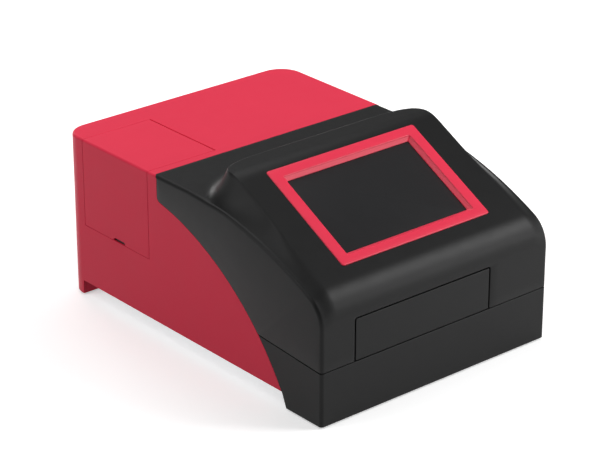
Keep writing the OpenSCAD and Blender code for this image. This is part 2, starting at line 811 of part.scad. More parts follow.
lcd_w = screen_w + 5;
lcd_l = screen_l + 4;
module lcd_module() {
  color("silver") on_feet() on_slope() translate([0, screen_off, 0]) {
    box([-lcd_w / 2, -lcd_l / 2, -collar_depth - lcd_t + 0.4],
      [lcd_w / 2, lcd_l / 2, -glass_depth - glass_t]);
  }
}

// Sheet frame that holds the module against the glass, on lugs under the collar
frame_z = -collar_depth - lcd_t + 0.4;
module display_frame() {
  w = collar_w / 2;
  l = collar_l / 2;
  color(steel) on_feet() on_slope() difference() {
    union() {
      box([-w, -l, frame_z - 1.5], [w, l, frame_z]);
      for (x = [-1, 1], y = [-1, 1])
        translate([x * (w - 3), y * (l - 3), frame_z - eps])
          cylinder(r = 2.8, h = -collar_depth - frame_z + eps);
    }
    box([-w + 12, -l + 12, frame_z - 3], [w - 40, l - 12, frame_z + 1]);
  }
}

module display_board() {
  top = frame_z - 1.5;
  z = top - 6;
  color(board_green) on_feet() on_slope() {
    box([-30, -40, z - 1.6], [collar_w / 2 - 6, 40, z]);
    for (x = [-26, collar_w / 2 - 10], y = [-36, 36])
      translate([x, y, z - eps]) cylinder(r = 2.2, h = top - z + eps);
    box([0, -12, z - 4], [24, 12, z - 1.5]);
    box([40, -34, z - 6], [66, -26, z - 1.5]);
    box([40, 20, z - 5], [60, 34, z - 1.5]);
    for (k = [0:3]) translate([-20 + 9 * k, 26, z - 8]) cylinder(r = 3, h = 6.5);
  }
}

module drawer_front() {
  y = front_y + drawer_t;
  color(black) on_feet() {
    from_to(front_y, y) drawer_shape(drawer_gap);
    for (s = [-1, 1]) translate([drawer_x + s * (drawer_w / 2 - 12), 0, 0])
      box([-1, y - eps, tray_top + 1], [1, y + 3, drawer_top - 8]);
  }
}

// Plate tray with its pocket and, behind it, the carriage that runs on the rods
clamp_pin_r = 1.5;
clamp_at = [drawer_x + pocket_l / 2 + 3, pocket_y + pocket_w / 2 + 5];
module plate_tray() {
  lx = pocket_l / 2 + rim_t;
  ly = pocket_w / 2 + rim_t;
  color([0.25, 0.25, 0.27]) on_feet() difference() {
    union() {
      box([drawer_x - tray_w / 2, tray_front + 2.5, tray_z], [drawer_x + tray_w / 2, block_rear, tray_top]);
      box([drawer_x - 66, tray_front, tray_z], [drawer_x + 66, tray_front + 2.6, drawer_top - 14]);
      for (s = [-1, 1]) translate([drawer_x + s * 58, 0, 0]) across(2)
        polygon([[tray_front + 2, tray_top - eps], [tray_front + 7, tray_top - eps],
          [tray_front + 2, drawer_top - 16]]);
      box([drawer_x - lx, pocket_y - ly, tray_top - eps], [drawer_x + lx, pocket_y + ly, tray_top + rim_h]);
      for (s = [-1, 1]) {
        translate([drawer_x + s * rod_x, 0, 0])
          box([-bushing_d / 2 - 3, block_front, rod_z - bushing_d / 2 - 2.5],
            [bushing_d / 2 + 3, block_rear, tray_z + eps]);
        translate([drawer_x + s * (tray_w / 2 - 1), 0, 0])
          box([-1, pocket_y + ly, tray_top - eps], [1, block_rear, tray_top + 3]);
      }
    }
    pocket(pocket_l, pocket_w, pocket_z);
    pocket(plate_l - 8, plate_w - 8, 0);
    pocket(tray_w - 12, 32, tray_top);
    box([clamp_at.x - 22, clamp_at.y - 5, tray_top], [clamp_at.x + 9, clamp_at.y + 14, case_h]);
    for (s = [-1, 1]) {
      bar_y(bushing_d / 2 + seat, drawer_x + s * rod_x, block_front - 1, block_rear + 1, rod_z);
      translate([drawer_x + s * 38, 0, 0]) box([-18, pocket_y + ly + 6, 0], [18, block_front - 2, case_h]);
    }
    bar_z(clamp_pin_r + seat, clamp_at.x, clamp_at.y, tray_z - 1, case_h);
  }
}

// Space over the plate's place, from height z up
module pocket(w, l, z) {
  box([drawer_x - w / 2, pocket_y - l / 2, z], [drawer_x + w / 2, pocket_y + l / 2, case_h]);
}

module carriage_bushings() {
  color("goldenrod") on_feet()
    for (s = [-1, 1], y = [block_front, block_rear - bushing_l]) difference() {
      bar_y(bushing_d / 2, drawer_x + s * rod_x, y, y + bushing_l, rod_z);
      bar_y(rod_d / 2 + run, drawer_x + s * rod_x, y - 1, y + bushing_l + 1, rod_z);
    }
}

// Sprung lever that holds the plate in its corner
clamp_z = tray_top + 0.3;
module plate_clamp() {
  y = pocket_y + pocket_w / 2 + 0.1;
  color("silver") on_feet() difference() {
    union() {
      bar_z(4, clamp_at.x, clamp_at.y, clamp_z, clamp_z + 4);
      box([clamp_at.x - 18, y, clamp_z], [clamp_at.x, y + 4, clamp_z + 4]);
      bar_z(2, clamp_at.x - 18, y + 2, clamp_z, clamp_z + 4);
    }
    bar_z(clamp_pin_r + run, clamp_at.x, clamp_at.y, clamp_z - 1, clamp_z + 5);
  }
}
module clamp_pin() {
  color(steel) on_feet() {
    bar_z(clamp_pin_r, clamp_at.x, clamp_at.y, tray_z, clamp_z + 4.3 + eps);
    bar_z(3, clamp_at.x, clamp_at.y, clamp_z + 4.3, clamp_z + 5.3);
  }
}

// Clamp that joins the carriage to the belt's upper run
module belt_clamp() {
  y = block_front + 27;
  z = belt_z + belt_in;
  color("silver") on_feet() difference() {
    translate([drawer_x, 0, 0]) box([-7, y, z - 3], [7, y + 10, tray_z]);
    translate([drawer_x, 0, 0])
      box([-belt_w / 2 - 0.4, y - 1, z - 0.4], [belt_w / 2 + 0.4, y + 11, z + belt_t + 0.4]);
  }
}

// Light barrier at the rear end of the drawer's travel, and its flag
sensor_x = drawer_x - 30;
module sensor_flag() {
  y = block_rear - 15;
  color("dimgray") on_feet() {
    box([sensor_x - 0.7, y, rod_z - 8], [sensor_x + 0.7, y + 10, tray_z]);
    box([sensor_x - 5, y, tray_z - 1.5], [sensor_x + 5, y + 10, tray_z]);
  }
}
module home_sensor() {
  y = block_rear - 16;
  color([0.1, 0.1, 0.1]) on_feet() difference() {
    union() {
      box([sensor_x - 7, y, deck_z], [sensor_x + 7, y + 8, rod_z + 2]);
      box([sensor_x - 12, y - 2, deck_z], [sensor_x + 12, y + 10, deck_z + 3]);
    }
    box([sensor_x - 1.8, y - 3, rod_z - 11], [sensor_x + 1.8, y + 11, rod_z + 3]);
  }
}

// One guide rod with chamfered ends
module guide_rod(side) {
  l = support_rear + support_t - support_front;
  r = rod_d / 2;
  color(steel) on_feet() translate([drawer_x + side * rod_x, support_front, rod_z]) rotate([-90, 0, 0])
    rotate_extrude() polygon([[0, 0], [r - 0.6, 0], [r, 0.6], [r, l - 0.6], [r - 0.6, l], [0, l]]);
}
module guide_rod_left() {
  guide_rod(-1);
}
module guide_rod_right() {
  guide_rod(1);
}
module rod_supports() {
  h = rod_z + rod_d / 2 + 4;
  color("lightgray") on_feet() for (s = [-1, 1], y = [support_front, support_rear]) difference() {
    translate([drawer_x + s * rod_x, y, 0]) {
      box([-8, 0, deck_z], [8, support_t, h]);
      box([-14, 0, deck_z], [14, support_t, deck_z + 4]);
    }
    bar_y(rod_d / 2 + seat, drawer_x + s * rod_x, y - 1, y + support_t + 1, rod_z);
    for (k = [-1, 1]) bar_z(1.7, drawer_x + s * rod_x + k * 11, y + support_t / 2, 0, deck_z + 5);
  }
}

// Drive motor across the belt, on an angle bracket
mount_x = drawer_x + pulley_w / 2 + 4;
mount_t = 3;
motor_half = motor_s / 2;
// Radius of the motor's round pilot
pilot_r = 11;
module motor_bracket() {
  top = belt_z + motor_half + 1;
  color(steel) on_feet() difference() {
    union() {
      box([mount_x, motor_y - motor_half - 2, deck_z], [mount_x + mount_t, motor_y + motor_half + 2, top]);
      box([mount_x, motor_y - motor_half - 2, deck_z], [mount_x + 36, motor_y + motor_half + 2, deck_z + 2]);
    }
    bar_x(pilot_r + 0.2, mount_x - 1, mount_x + mount_t + 1, motor_y, belt_z);
    for (y = [-15.5, 15.5], z = [-15.5, 15.5])
      bar_x(1.7, mount_x - 1, mount_x + mount_t + 1, motor_y + y, belt_z + z);
  }
}
module drive_motor() {
  x = mount_x + mount_t;
  cut = 3.5;
  color([0.15, 0.15, 0.16]) on_feet() translate([x, motor_y, belt_z]) rotate([90, 0, 90]) difference() {
    union() {
      linear_extrude(height = motor_l) difference() {
        square(motor_s, center = true);
        for (a = [0:90:270]) rotate(a) translate([motor_half, motor_half]) rotate(45)
          square([2 * cut, 4 * cut], center = true);
      }
      translate([0, 0, -2]) cylinder(r = pilot_r, h = 2 + eps);
    }
    translate([0, 0, -3]) cylinder(r = 2.5 + run, h = 26);
    for (z = [9, motor_l - 10]) translate([0, 0, z]) difference() {
      cylinder(r = 40, h = 1);
      cylinder(r = motor_half - 0.8, h = 1);
    }
  }
}
module motor_shaft() {
  color(steel) on_feet() bar_x(2.5, drawer_x - pulley_w / 2 - 1.5, mount_x + mount_t + 20, motor_y, belt_z);
}

// Pulley profile turned about the X axis, with flanges beside the belt
module pulley_body(x, y, bore) {
  w = pulley_w / 2;
  translate([x, y, belt_z]) rotate([0, 90, 0]) difference() {
    rotate_extrude() polygon([[bore, -w], [pulley_r + 2.4, -w], [pulley_r + 2, -w + 1],
      [pulley_r, -w + 1.1], [pulley_r, w - 1.1], [pulley_r + 2, w - 1], [pulley_r + 2.4, w], [bore, w]]);
    children();
  }
}
module drive_pulley() {
  color("gainsboro") on_feet() {
    pulley_body(drawer_x, motor_y, 2.5 + seat)
      for (k = [0:pulley_teeth - 1]) rotate(k * 360 / pulley_teeth)
        translate([pulley_r, 0, -pulley_w / 2 + 1.2]) cylinder(r = 0.55, h = pulley_w - 2.4, $fn = 16);
    translate([drawer_x, motor_y, belt_z]) rotate([0, 90, 0]) difference() {
      translate([0, 0, pulley_w / 2 - eps]) cylinder(r = 6.5, h = 1.5);
      cylinder(r = 2.5 + seat, h = 20);
    }
  }
}
module idler_pulley() {
  color("gainsboro") on_feet() pulley_body(drawer_x, idler_y, 2 + run);
}
module drive_belt() {
  color([0.08, 0.08, 0.08]) on_feet() translate([drawer_x, 0, belt_z]) across(belt_w) difference() {
    racetrack(idler_y, motor_y, belt_in + belt_t);
    racetrack(idler_y, motor_y, belt_in);
  }
}
module idler_bracket() {
  x = pulley_w / 2 + 0.7;
  color(steel) on_feet() translate([drawer_x, idler_y, 0]) difference() {
    union() {
      for (s = [-1, 1]) translate([s * (x + 1), 0, 0]) {
        box([-1, -5, deck_z], [1, 5, belt_z]);
        bar_x(5, -1, 1, 0, belt_z);
      }
      box([-x - 2, -9, deck_z], [x + 2, 9, deck_z + 2]);
    }
    bar_x(2 + seat, -20, 20, 0, belt_z);
  }
}
module idler_pin() {
  x = pulley_w / 2 + 3.2;
  color(steel) on_feet() {
    bar_x(2, drawer_x - x, drawer_x + x, idler_y, belt_z);
    for (s = [-1, 1])
      bar_x(3, drawer_x + s * (x + 0.5) - 0.6, drawer_x + s * (x + 0.5) + 0.6, idler_y, belt_z);
  }
}

// Portal over the plate path, with one lens bore for each channel
channel_x = [for (k = [0:channels - 1]) drawer_x + (k - (channels - 1) / 2) * channel_pitch];
module optic_bridge() {
  leg = rod_x + 13;
  y1 = bridge_y - bridge_d / 2;
  y2 = bridge_y + bridge_d / 2;
  color([0.12, 0.12, 0.13]) on_feet() difference() {
    translate([drawer_x, 0, 0]) {
      box([-leg - 8, y1, bridge_z], [leg + 8, y2, bridge_z + bridge_h]);
      for (s = [-1, 1]) translate([s * (leg + 4), 0, 0]) {
        box([-4, y1 + 3, deck_z], [4, y2 - 3, bridge_z + eps]);
        box([-4 + (s > 0 ? 0 : -8), y1, deck_z], [4 + (s > 0 ? 8 : 0), y2, deck_z + 4]);
      }
      for (s = [-1, 1]) bridge_rib(s * (leg - 6));
    }
    for (x = channel_x) {
      bar_z(lens_d / 2 + seat, x, bridge_y, bridge_z - 1, bridge_z + 4);
      bar_z(lens_d / 2 - 1, x, bridge_y, bridge_z - 1, bridge_z + bridge_h - 4);
    }
    bar_y(guide_d / 2 + run, lamp_x, bridge_y + 4, y2 + 1, path_z);
    box([channel_x[0] - 4, y1 + 4, bridge_z + bridge_h - 2],
      [channel_x[channels - 1] + 4, y2 - 4, bridge_z + bridge_h + 1]);
  }
}
// Low rib on the beam over a leg
module bridge_rib(x) {
  box([x - 6, bridge_y - 1.5, bridge_z + bridge_h - eps], [x + 6, bridge_y + 1.5, bridge_z + bridge_h + 3]);
}

// Plano-convex lens, flat face up
module bridge_lens(x) {
  r = lens_d / 2;
  translate([x, bridge_y, bridge_z + 4]) rotate([180, 0, 0]) rotate_extrude()
    polygon(concat([[0, 0], [r, 0]], [for (t = [0:0.2:1]) [r * cos(90 * t), 2.2 + 1.2 * sin(90 * t)]]));
}
module bridge_lenses() {
  color([0.8, 0.9, 0.95, 0.5]) on_feet() for (x = channel_x) bridge_lens(x);
}

// Board with one photodiode can under each channel, on four posts
module detector_board() {
  w = (channels / 2) * channel_pitch + 6;
  y1 = bridge_y - bridge_d / 2;
  y2 = bridge_y + bridge_d / 2;
  color(board_green) on_feet() {
    box([drawer_x - w, y1, board_z], [drawer_x + w, y2, board_z + 1.6]);
    for (s = [-1, 1], y = [y1 + 4, y2 - 4]) bar_z(3, drawer_x + s * (w - 5), y, deck_z, board_z + eps);
    for (x = channel_x) translate([x, bridge_y, board_z + 1.5]) {
      cylinder(r = 4.1, h = 0.8);
      cylinder(r = 3.6, h = 3.4);
    }
  }
}

// Light guide from the filter wheel to the bridge
module light_guide() {
  color([0.1, 0.1, 0.1]) on_feet() {
    bar_y(guide_d / 2, lamp_x, bridge_y + 5, bracket_front + bracket_t, path_z);
    for (y = [bridge_y + bridge_d / 2, bracket_front - 10])
      bar_y(guide_d / 2 + 2, lamp_x, y, y + 10, path_z);
  }
}

// Bracket of the filter wheel: a rear plate for the motor and lamp, a front post for the guide
module wheel_bracket() {
  y = bracket_rear;
  color("lightgray") on_feet() difference() {
    union() {
      box([wheel_x - 18, y, deck_z], [lamp_x + 18, y + bracket_t, path_z + 22]);
      box([lamp_x - 12, bracket_front, deck_z], [lamp_x + 12, bracket_front + bracket_t, path_z + 14]);
      box([wheel_x - 18, bracket_front, deck_z], [lamp_x + 18, y + 14, deck_z + bracket_t]);
      for (x = [wheel_x - 18, lamp_x + 16]) translate([x + 1, 0, 0]) across(2)
        polygon([[y + eps, deck_z], [y + 14, deck_z], [y + eps, deck_z + 26]]);
    }
    bar_y(guide_d / 2 + run, lamp_x, bracket_front - 1, bracket_front + bracket_t + 1, path_z);
    bar_y(6, lamp_x, y - 1, y + bracket_t + 1, path_z);
    bar_y(4, wheel_x, y - 1, y + bracket_t + 1, path_z);
    for (s = [-1, 1], t = [-1, 1])
      bar_y(1.3, wheel_x + s * 11.5, y - 1, y + bracket_t + 1, path_z + t * 11.5);
  }
}
wheel_motor_s = 28;
module wheel_motor() {
  y = bracket_rear + bracket_t;
  color([0.15, 0.15, 0.16]) on_feet() difference() {
    translate([wheel_x, y + 16, path_z]) rotate([90, 0, 0]) linear_extrude(height = 32, center = true)
      round_rect(wheel_motor_s, wheel_motor_s, 3);
    bar_y(2.5 + run, wheel_x, y - 1, y + 20, path_z);
  }
}
module wheel_shaft() {
  color(steel) on_feet() bar_y(2.5, wheel_x, wheel_y - 5, bracket_rear + bracket_t + 18, path_z);
}

// Filter wheel: a turned disc and hub with a seat for each filter
module filter_wheel() {
  t = wheel_t / 2;
  color([0.2, 0.2, 0.22]) on_feet() translate([wheel_x, wheel_y, path_z]) rotate([90, 0, 0]) difference() {
    rotate_extrude() polygon([[2.5 + seat, -t - 1.5], [8, -t - 1.5], [8, -t], [wheel_r - 1, -t],
      [wheel_r, -t + 1], [wheel_r, t - 1], [wheel_r - 1, t], [8, t], [8, t + 2], [2.5 + seat, t + 2]]);
    for (k = [0:filters - 1]) rotate(k * 360 / filters) translate([filter_pitch_r, 0, -t - 1]) {
      cylinder(r = filter_d / 2 - 1, h = wheel_t + 2);
      translate([0, 0, 2.5]) cylinder(r = filter_d / 2 + seat, h = wheel_t);
    }
  }
}
module optical_filters() {
  t = wheel_t / 2;
  color([0.5, 0.35, 0.75, 0.8]) on_feet() translate([wheel_x, wheel_y, path_z]) rotate([90, 0, 0])
    for (k = [0:filters - 1]) rotate(k * 360 / filters) translate([filter_pitch_r, 0, -t + 1.5])
      cylinder(r = filter_d / 2, h = 3);
}

// Lamp housing: an open-ended box with cooling slots, on the bracket's rear plate
module lamp_housing() {
  w = 12;
  h = 16;
  color([0.6, 0.6, 0.62]) on_feet() difference() {
    box([lamp_x - w, lamp_y, path_z - h], [lamp_x + w, lamp_y + lamp_l, path_z + h]);
    box([lamp_x - w + 1.5, lamp_y + 2, path_z - h + 1.5],
      [lamp_x + w - 1.5, lamp_y + lamp_l - 2, path_z + h - 1.5]);
    bar_y(6, lamp_x, lamp_y - 1, lamp_y + 3, path_z);
    for (k = [0:4])
      box([lamp_x - 8, lamp_y + 10 + 8 * k, path_z + h - 3],
        [lamp_x + 8, lamp_y + 14 + 8 * k, path_z + h + 1]);
  }
}
module lamp_lens() {
  color([0.8, 0.9, 0.95, 0.5]) on_feet()
    translate([lamp_x, lamp_y + 2, path_z]) rotate([-90, 0, 0]) rotate_extrude()
    polygon(concat([[0, 0], [10.4, 0]], [for (t = [0:0.2:1]) [10.4 * cos(90 * t), 2 + 4 * sin(90 * t)]]));
}
module lamp() {
  y = lamp_y + lamp_l - 2;
  color([0.95, 0.93, 0.85]) on_feet() translate([lamp_x, y, path_z]) rotate([90, 0, 0]) rotate_extrude()
    polygon([[0, 0], [8, 0], [8, 9], [6, 10], [6, 20], [5, 24], [3, 26.5], [0, 27.5]]);
}

// Rear fan with its finger guard
module fan_frame() {
  s = fan_s / 2;
  color([0.12, 0.12, 0.12]) on_feet() translate([lamp_x, 0, path_z]) {
    difference() {
      from_to(fan_y, inner_rear) round_rect(fan_s, fan_s, 4);
      bar_y(fan_hole, 0, fan_y - 1, inner_rear + 1, 0);
      for (x = [-1, 1], z = [-1, 1]) bar_y(2.1, x * (s - 5), fan_y - 1, inner_rear + 1, z * (s - 5));
      for (x = [-1, 1], z = [-1, 1]) translate([x * s, (fan_y + inner_rear) / 2, z * s])
        cube([9, fan_d - 8, 9], center = true);
    }
    bar_y(12, 0, inner_rear - 3, inner_rear, 0);
    bar_y(2, 0, fan_y + 6, inner_rear - 3 + eps, 0);
    for (a = [45:90:315]) rotate([0, a, 0])
      box([10, inner_rear - 2.5, -1.5], [fan_hole + 0.6, inner_rear, 1.5]);
  }
}
module fan_rotor() {
  y1 = fan_y + 3;
  y2 = inner_rear - 3.6;
  color([0.2, 0.2, 0.2]) on_feet() translate([lamp_x, 0, path_z]) {
    difference() {
      bar_y(12, 0, y1, y2, 0);
      bar_y(2 + run, 0, fan_y + 5, y2 + 1, 0);
    }
    for (k = [0:fan_blades - 1]) rotate([0, k * 360 / fan_blades, 0])
      translate([fan_hole / 2 + 5.6, (y1 + y2) / 2, 0]) rotate([38, 0, 0])
        cube([fan_hole - 12.4, 17, 1.4], center = true);
  }
}
module fan_guard() {
  y = inner_rear + 0.9;
  color("silver") on_feet() translate([lamp_x, y, path_z]) rotate([90, 0, 0]) {
    for (r = [fan_hole * 0.28, fan_hole * 0.52, fan_hole * 0.77, fan_hole + 0.6])
      rotate_extrude() translate([r, 0]) circle(0.8, $fn = 16);
    for (a = [0:90:270]) rotate([90, 0, a]) cylinder(r = 0.6, h = fan_hole + 0.6, $fn = 16);
  }
}

// Power supply in its slotted case
module power_supply() {
  x = [36, inner_x - 10];
  y = [split_y + 14, inner_rear - 26];
  h = 40;
  color(steel) on_feet() difference() {
    box([x[0], y[0], deck_z], [x[1], y[1], deck_z + h]);
    for (k = [0:9]) translate([0, y[0] + 14 + 9 * k, deck_z]) {
      box([x[0] + 12, 0, h - 1.2], [x[1] - 12, 4, h + 1]);
      box([x[0] - 1, 0, 10], [x[0] + 1.2, 4, h - 8]);
    }
    box([x[0] + 8, y[0] - 1, deck_z + 6], [x[1] - 30, y[0] + 9, deck_z + 22]);
  }
}

module main_board() {
  z = deck_z + standoff_h;
  a = board[0];
  b = board[1];
  color(board_green) on_feet() difference() {
    union() {
      box([a.x, a.y, z], [b.x, b.y, z + 1.6]);
      box([a.x + 22, a.y + 40, z + 1.5], [a.x + 44, a.y + 62, z + 4]);
      box([a.x + 12, a.y + 76, z + 1.5], [a.x + 24, a.y + 90, z + 3.5]);
      box([a.x + 34, a.y + 76, z + 1.5], [a.x + 46, a.y + 90, z + 3.5]);
      for (k = [0:2]) box([a.x + 10 + 19 * k, b.y - 9, z + 1.5], [a.x + 24 + 19 * k, b.y - 1, z + 10]);
      for (k = [0:3]) box([a.x + 1, a.y + 14 + 16 * k, z + 1.5], [a.x + 8, a.y + 26 + 16 * k, z + 9]);
      for (k = [0:4]) bar_z(4, b.x - 12, a.y + 20 + 14 * k, z + 1.5, z + 14);
      for (k = [0:5]) box([b.x - 26, a.y + 20 + 3 * k, z + 1.5], [b.x - 20, a.y + 21 + 3 * k, z + 12]);
    }
    for (p = board_holes) bar_z(1.6, p.x, p.y, z - 1, z + 3);
  }
}

// Connector panel behind the rear opening, with the places of what it carries
socket_z = 42;
inlet_x = panel_x[1] - 20;
switch_x = inlet_x - 26;
usb_x = [switch_x - 32, switch_x - 16];
serial_x = usb_x[0] - 24;
module connector_panel() {
  color([0.7, 0.7, 0.72]) on_feet() difference() {
    box([panel_x[0], panel_y - panel_t, panel_z[0]], [panel_x[1], panel_y, panel_z[1]]);
    panel_cut(inlet_x, 28, 20);
    panel_cut(switch_x, 13, 20);
    for (x = usb_x) panel_cut(x, 12, 11);
    panel_cut(serial_x, 17, 9);
  }
}
module panel_cut(x, w, h) {
  gap = 0.15;
  box([x - w / 2 - gap, panel_y - 10, socket_z - h / 2 - gap],
    [x + w / 2 + gap, panel_y + 5, socket_z + h / 2 + gap]);
}
// Body of a panel socket behind its flange
module socket_body(x, w, h, fw, fh, ft, depth) {
  box([x - w / 2, panel_y - depth, socket_z - h / 2], [x + w / 2, panel_y + eps, socket_z + h / 2]);
  box([x - fw / 2, panel_y, socket_z - fh / 2], [x + fw / 2, panel_y + ft, socket_z + fh / 2]);
}
module mains_inlet() {
  color([0.1, 0.1, 0.1]) on_feet() {
    difference() {
      socket_body(inlet_x, 28, 20, 31, 25, 2, 18);
      box([inlet_x - 12, panel_y - 15, socket_z - 8], [inlet_x + 12, panel_y + 3, socket_z + 8]);
    }
    for (p = [[-7, -2], [0, 2], [7, -2]])
      box([inlet_x + p.x - 1, panel_y - 15 - eps, socket_z + p.y - 2],
        [inlet_x + p.x + 1, panel_y - 4, socket_z + p.y + 2]);
  }
}
rocker_y = panel_y - 4;
module switch_body() {
  color([0.1, 0.1, 0.1]) on_feet() difference() {
    socket_body(switch_x, 13, 20, 16, 25, 1.8, 16);
    box([switch_x - 5.5, panel_y - 10, socket_z - 9.4], [switch_x + 5.5, panel_y + 3, socket_z + 9.4]);
    bar_x(1 + run, switch_x - 6.2, switch_x + 6.2, rocker_y, socket_z);
  }
}
// Rocker tilted to its off side
module power_rocker() {
  color([0.75, 0.1, 0.1]) on_feet() {
    translate([switch_x, rocker_y, socket_z]) rotate([-8, 0, 0]) across(10.4)
      polygon([[-2, -3], [0, -8.2], [5.3, -8.2], [4.4, 0], [5.3, 8.2], [0, 8.2], [-2, 3]]);
    bar_x(1, switch_x - 6, switch_x + 6, rocker_y, socket_z);
  }
}
module usb_sockets() {
  color("silver") on_feet() for (x = usb_x) {
    difference() {
      box([x - 6, panel_y - 14, socket_z - 5.5], [x + 6, panel_y + 1.2, socket_z + 5.5]);
      box([x - 4.8, panel_y - 12, socket_z - 4.3], [x + 4.8, panel_y + 2, socket_z + 4.3]);
    }
    box([x - 3, panel_y - 12 - eps, socket_z - 1.2], [x + 3, panel_y - 1, socket_z + 1.2]);
  }
}
module serial_socket() {
  x = serial_x;
  color("silver") on_feet() difference() {
    union() {
      socket_body(x, 17, 9, 30, 12, 0.8, 10);
      translate([x, panel_y, socket_z]) rotate([-90, 0, 0]) linear_extrude(height = 2.4)
        polygon([[-8.4, -4], [8.4, -4], [7.2, 4], [-7.2, 4]]);
      for (s = [-1, 1]) bar_y(2.4, x + s * 12.5, panel_y, panel_y + 2.2, socket_z, $fn = 24);
    }
    for (k = [0:4]) bar_y(0.6, x + (k - 2) * 2.76, panel_y - 4, panel_y + 3, socket_z + 1.4, $fn = 16);
    for (k = [0:3]) bar_y(0.6, x + (k - 1.5) * 2.76, panel_y - 4, panel_y + 3, socket_z - 1.4, $fn = 16);
    for (s = [-1, 1]) bar_y(1.2, x + s * 12.5, panel_y - 1, panel_y + 3, socket_z, $fn = 24);
  }
}

base_shell();
front_cover();
rear_housing();
rear_foot_bar();
rubber_feet();
chassis();
base_screws();
display_bezel();
touch_glass();
lcd_module();
display_frame();
display_board();
drawer_front();
plate_tray();
carriage_bushings();
plate_clamp();
clamp_pin();
belt_clamp();
sensor_flag();
guide_rod_left();
guide_rod_right();
rod_supports();
motor_bracket();
drive_motor();
motor_shaft();
drive_pulley();
drive_belt();
idler_bracket();
idler_pin();
idler_pulley();
home_sensor();
optic_bridge();
bridge_lenses();
detector_board();
light_guide();
wheel_bracket();
wheel_motor();
wheel_shaft();
filter_wheel();
optical_filters();
lamp_housing();
lamp();
lamp_lens();
fan_frame();
fan_rotor();
fan_guard();
access_door();
door_frame();
door_pin();
door_magnet();
power_supply();
main_board();
connector_panel();
mains_inlet();
switch_body();
power_rocker();
usb_sockets();
serial_socket();
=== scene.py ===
import json
import math

import bmesh
import bpy
import numpy as np
from mathutils import Matrix, Vector


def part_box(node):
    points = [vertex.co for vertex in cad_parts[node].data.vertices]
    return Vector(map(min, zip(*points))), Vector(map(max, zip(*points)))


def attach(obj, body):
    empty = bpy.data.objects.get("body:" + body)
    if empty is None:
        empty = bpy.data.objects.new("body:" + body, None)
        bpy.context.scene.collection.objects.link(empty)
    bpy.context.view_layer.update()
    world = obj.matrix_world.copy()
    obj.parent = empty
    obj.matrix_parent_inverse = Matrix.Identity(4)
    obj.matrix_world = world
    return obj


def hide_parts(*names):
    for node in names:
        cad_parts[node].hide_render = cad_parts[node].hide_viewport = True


# Looks of the microplate reader. Lengths are millimetres, measured as the part's source measures them:
# X across the front, -Y out of the front, Z up from the lower edge of the case.

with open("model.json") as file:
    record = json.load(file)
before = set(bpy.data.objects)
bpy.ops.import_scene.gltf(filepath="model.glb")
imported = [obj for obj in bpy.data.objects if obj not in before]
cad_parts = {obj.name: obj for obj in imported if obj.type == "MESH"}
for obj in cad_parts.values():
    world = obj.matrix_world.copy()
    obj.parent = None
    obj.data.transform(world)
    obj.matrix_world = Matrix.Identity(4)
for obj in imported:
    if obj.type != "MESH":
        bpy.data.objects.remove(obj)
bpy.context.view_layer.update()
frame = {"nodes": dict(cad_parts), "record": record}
MM = 0.001


def corners(node):
    """Lowest and highest corner of a CAD node, in millimetres above the floor."""
    low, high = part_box(node)
    return Vector(low) / MM, Vector(high) / MM


# Height of the case's lower edge above the floor
FOOT = corners("rear_housing")[0].z


def box_mm(node):
    """Lowest and highest corner of a CAD node, in millimetres above the lower edge of the case."""
    lift = Vector((0, 0, FOOT))
    return [corner - lift for corner in corners(node)]


def grown(size, margin):
    """Size of a rectangle moved out by a margin on each side."""
    return size + Vector((2 * margin, 2 * margin))


# The case's extent, from the frame
SIDE_X, REAR_Y, CASE_H = box_mm("rear_housing")[1]
FRONT_Y = box_mm("front_cover")[0].y
SPLIT_Y = box_mm("front_cover")[1].y

# Walls and round edges
SKIN = 2.5
COVER_WALL = 2.5
EDGE_R = 3.5
MIN_EDGE_R = 0.4
RIGHT_CORNER_R = 27
LEFT_CORNER_R = 25
TOP_R = 2.5
RIM_R = 0.5

# The red skirt's lift along the sides, its rear bar, the seam that rises along the sides, and the gaps
SIDE_LIFT = 15.7
REAR_BAR = 27
SEAM_H = 58
SEAM_RISE = 6.3
GAP = 0.3
SEAM_GAP = 0.9

# How far a cutter reaches past a surface, how far one reaches out of or into the display's slope, and how far a
# part that is joined on sinks into its wall
PAST = 1
SLOPE_OUT = 12
SLOPE_IN = 20
SINK = 0.1

# The swept side joint, a circle in the side view, its upright end, and the slanted end of the front foot bar
SWEEP_R = 287
JOINT_STEP = 5
SWEEP_BLEND = 5
SWEEP_TOP = Vector((SPLIT_Y - JOINT_STEP, 152.4))
SWEEP_LOW = Vector((FRONT_Y + 58.4, SIDE_LIFT - 1.1))
BAR_SLANT = 6
BAR_CUT_L = 40

# The nose and the console. From CONSOLE_Y back, the console's flank runs down from a crest to a foot: how far
# they reach back, how square they turn, how hollow the flank is, and where its hollow comes in.
NOSE_H = 106.3
NOSE_R = 35
TILT = math.radians(27.4)
SHOULDER_DROP = 5
SHOULDER_Y = FRONT_Y + 215
RIDGE_H = 207
RIDGE_BLEND = 5
CREST_X = SIDE_X - 20
CONSOLE_Y = FRONT_Y + 132
FLANK_Y = (CONSOLE_Y - 80, CONSOLE_Y - 20)
CREST_REACH = 50
FOOT_REACH = 90
CREST_POWER = 6
FOOT_POWER = 3.3
FLANK_POWER = 1.7
CREASE_SOFT = 0.05

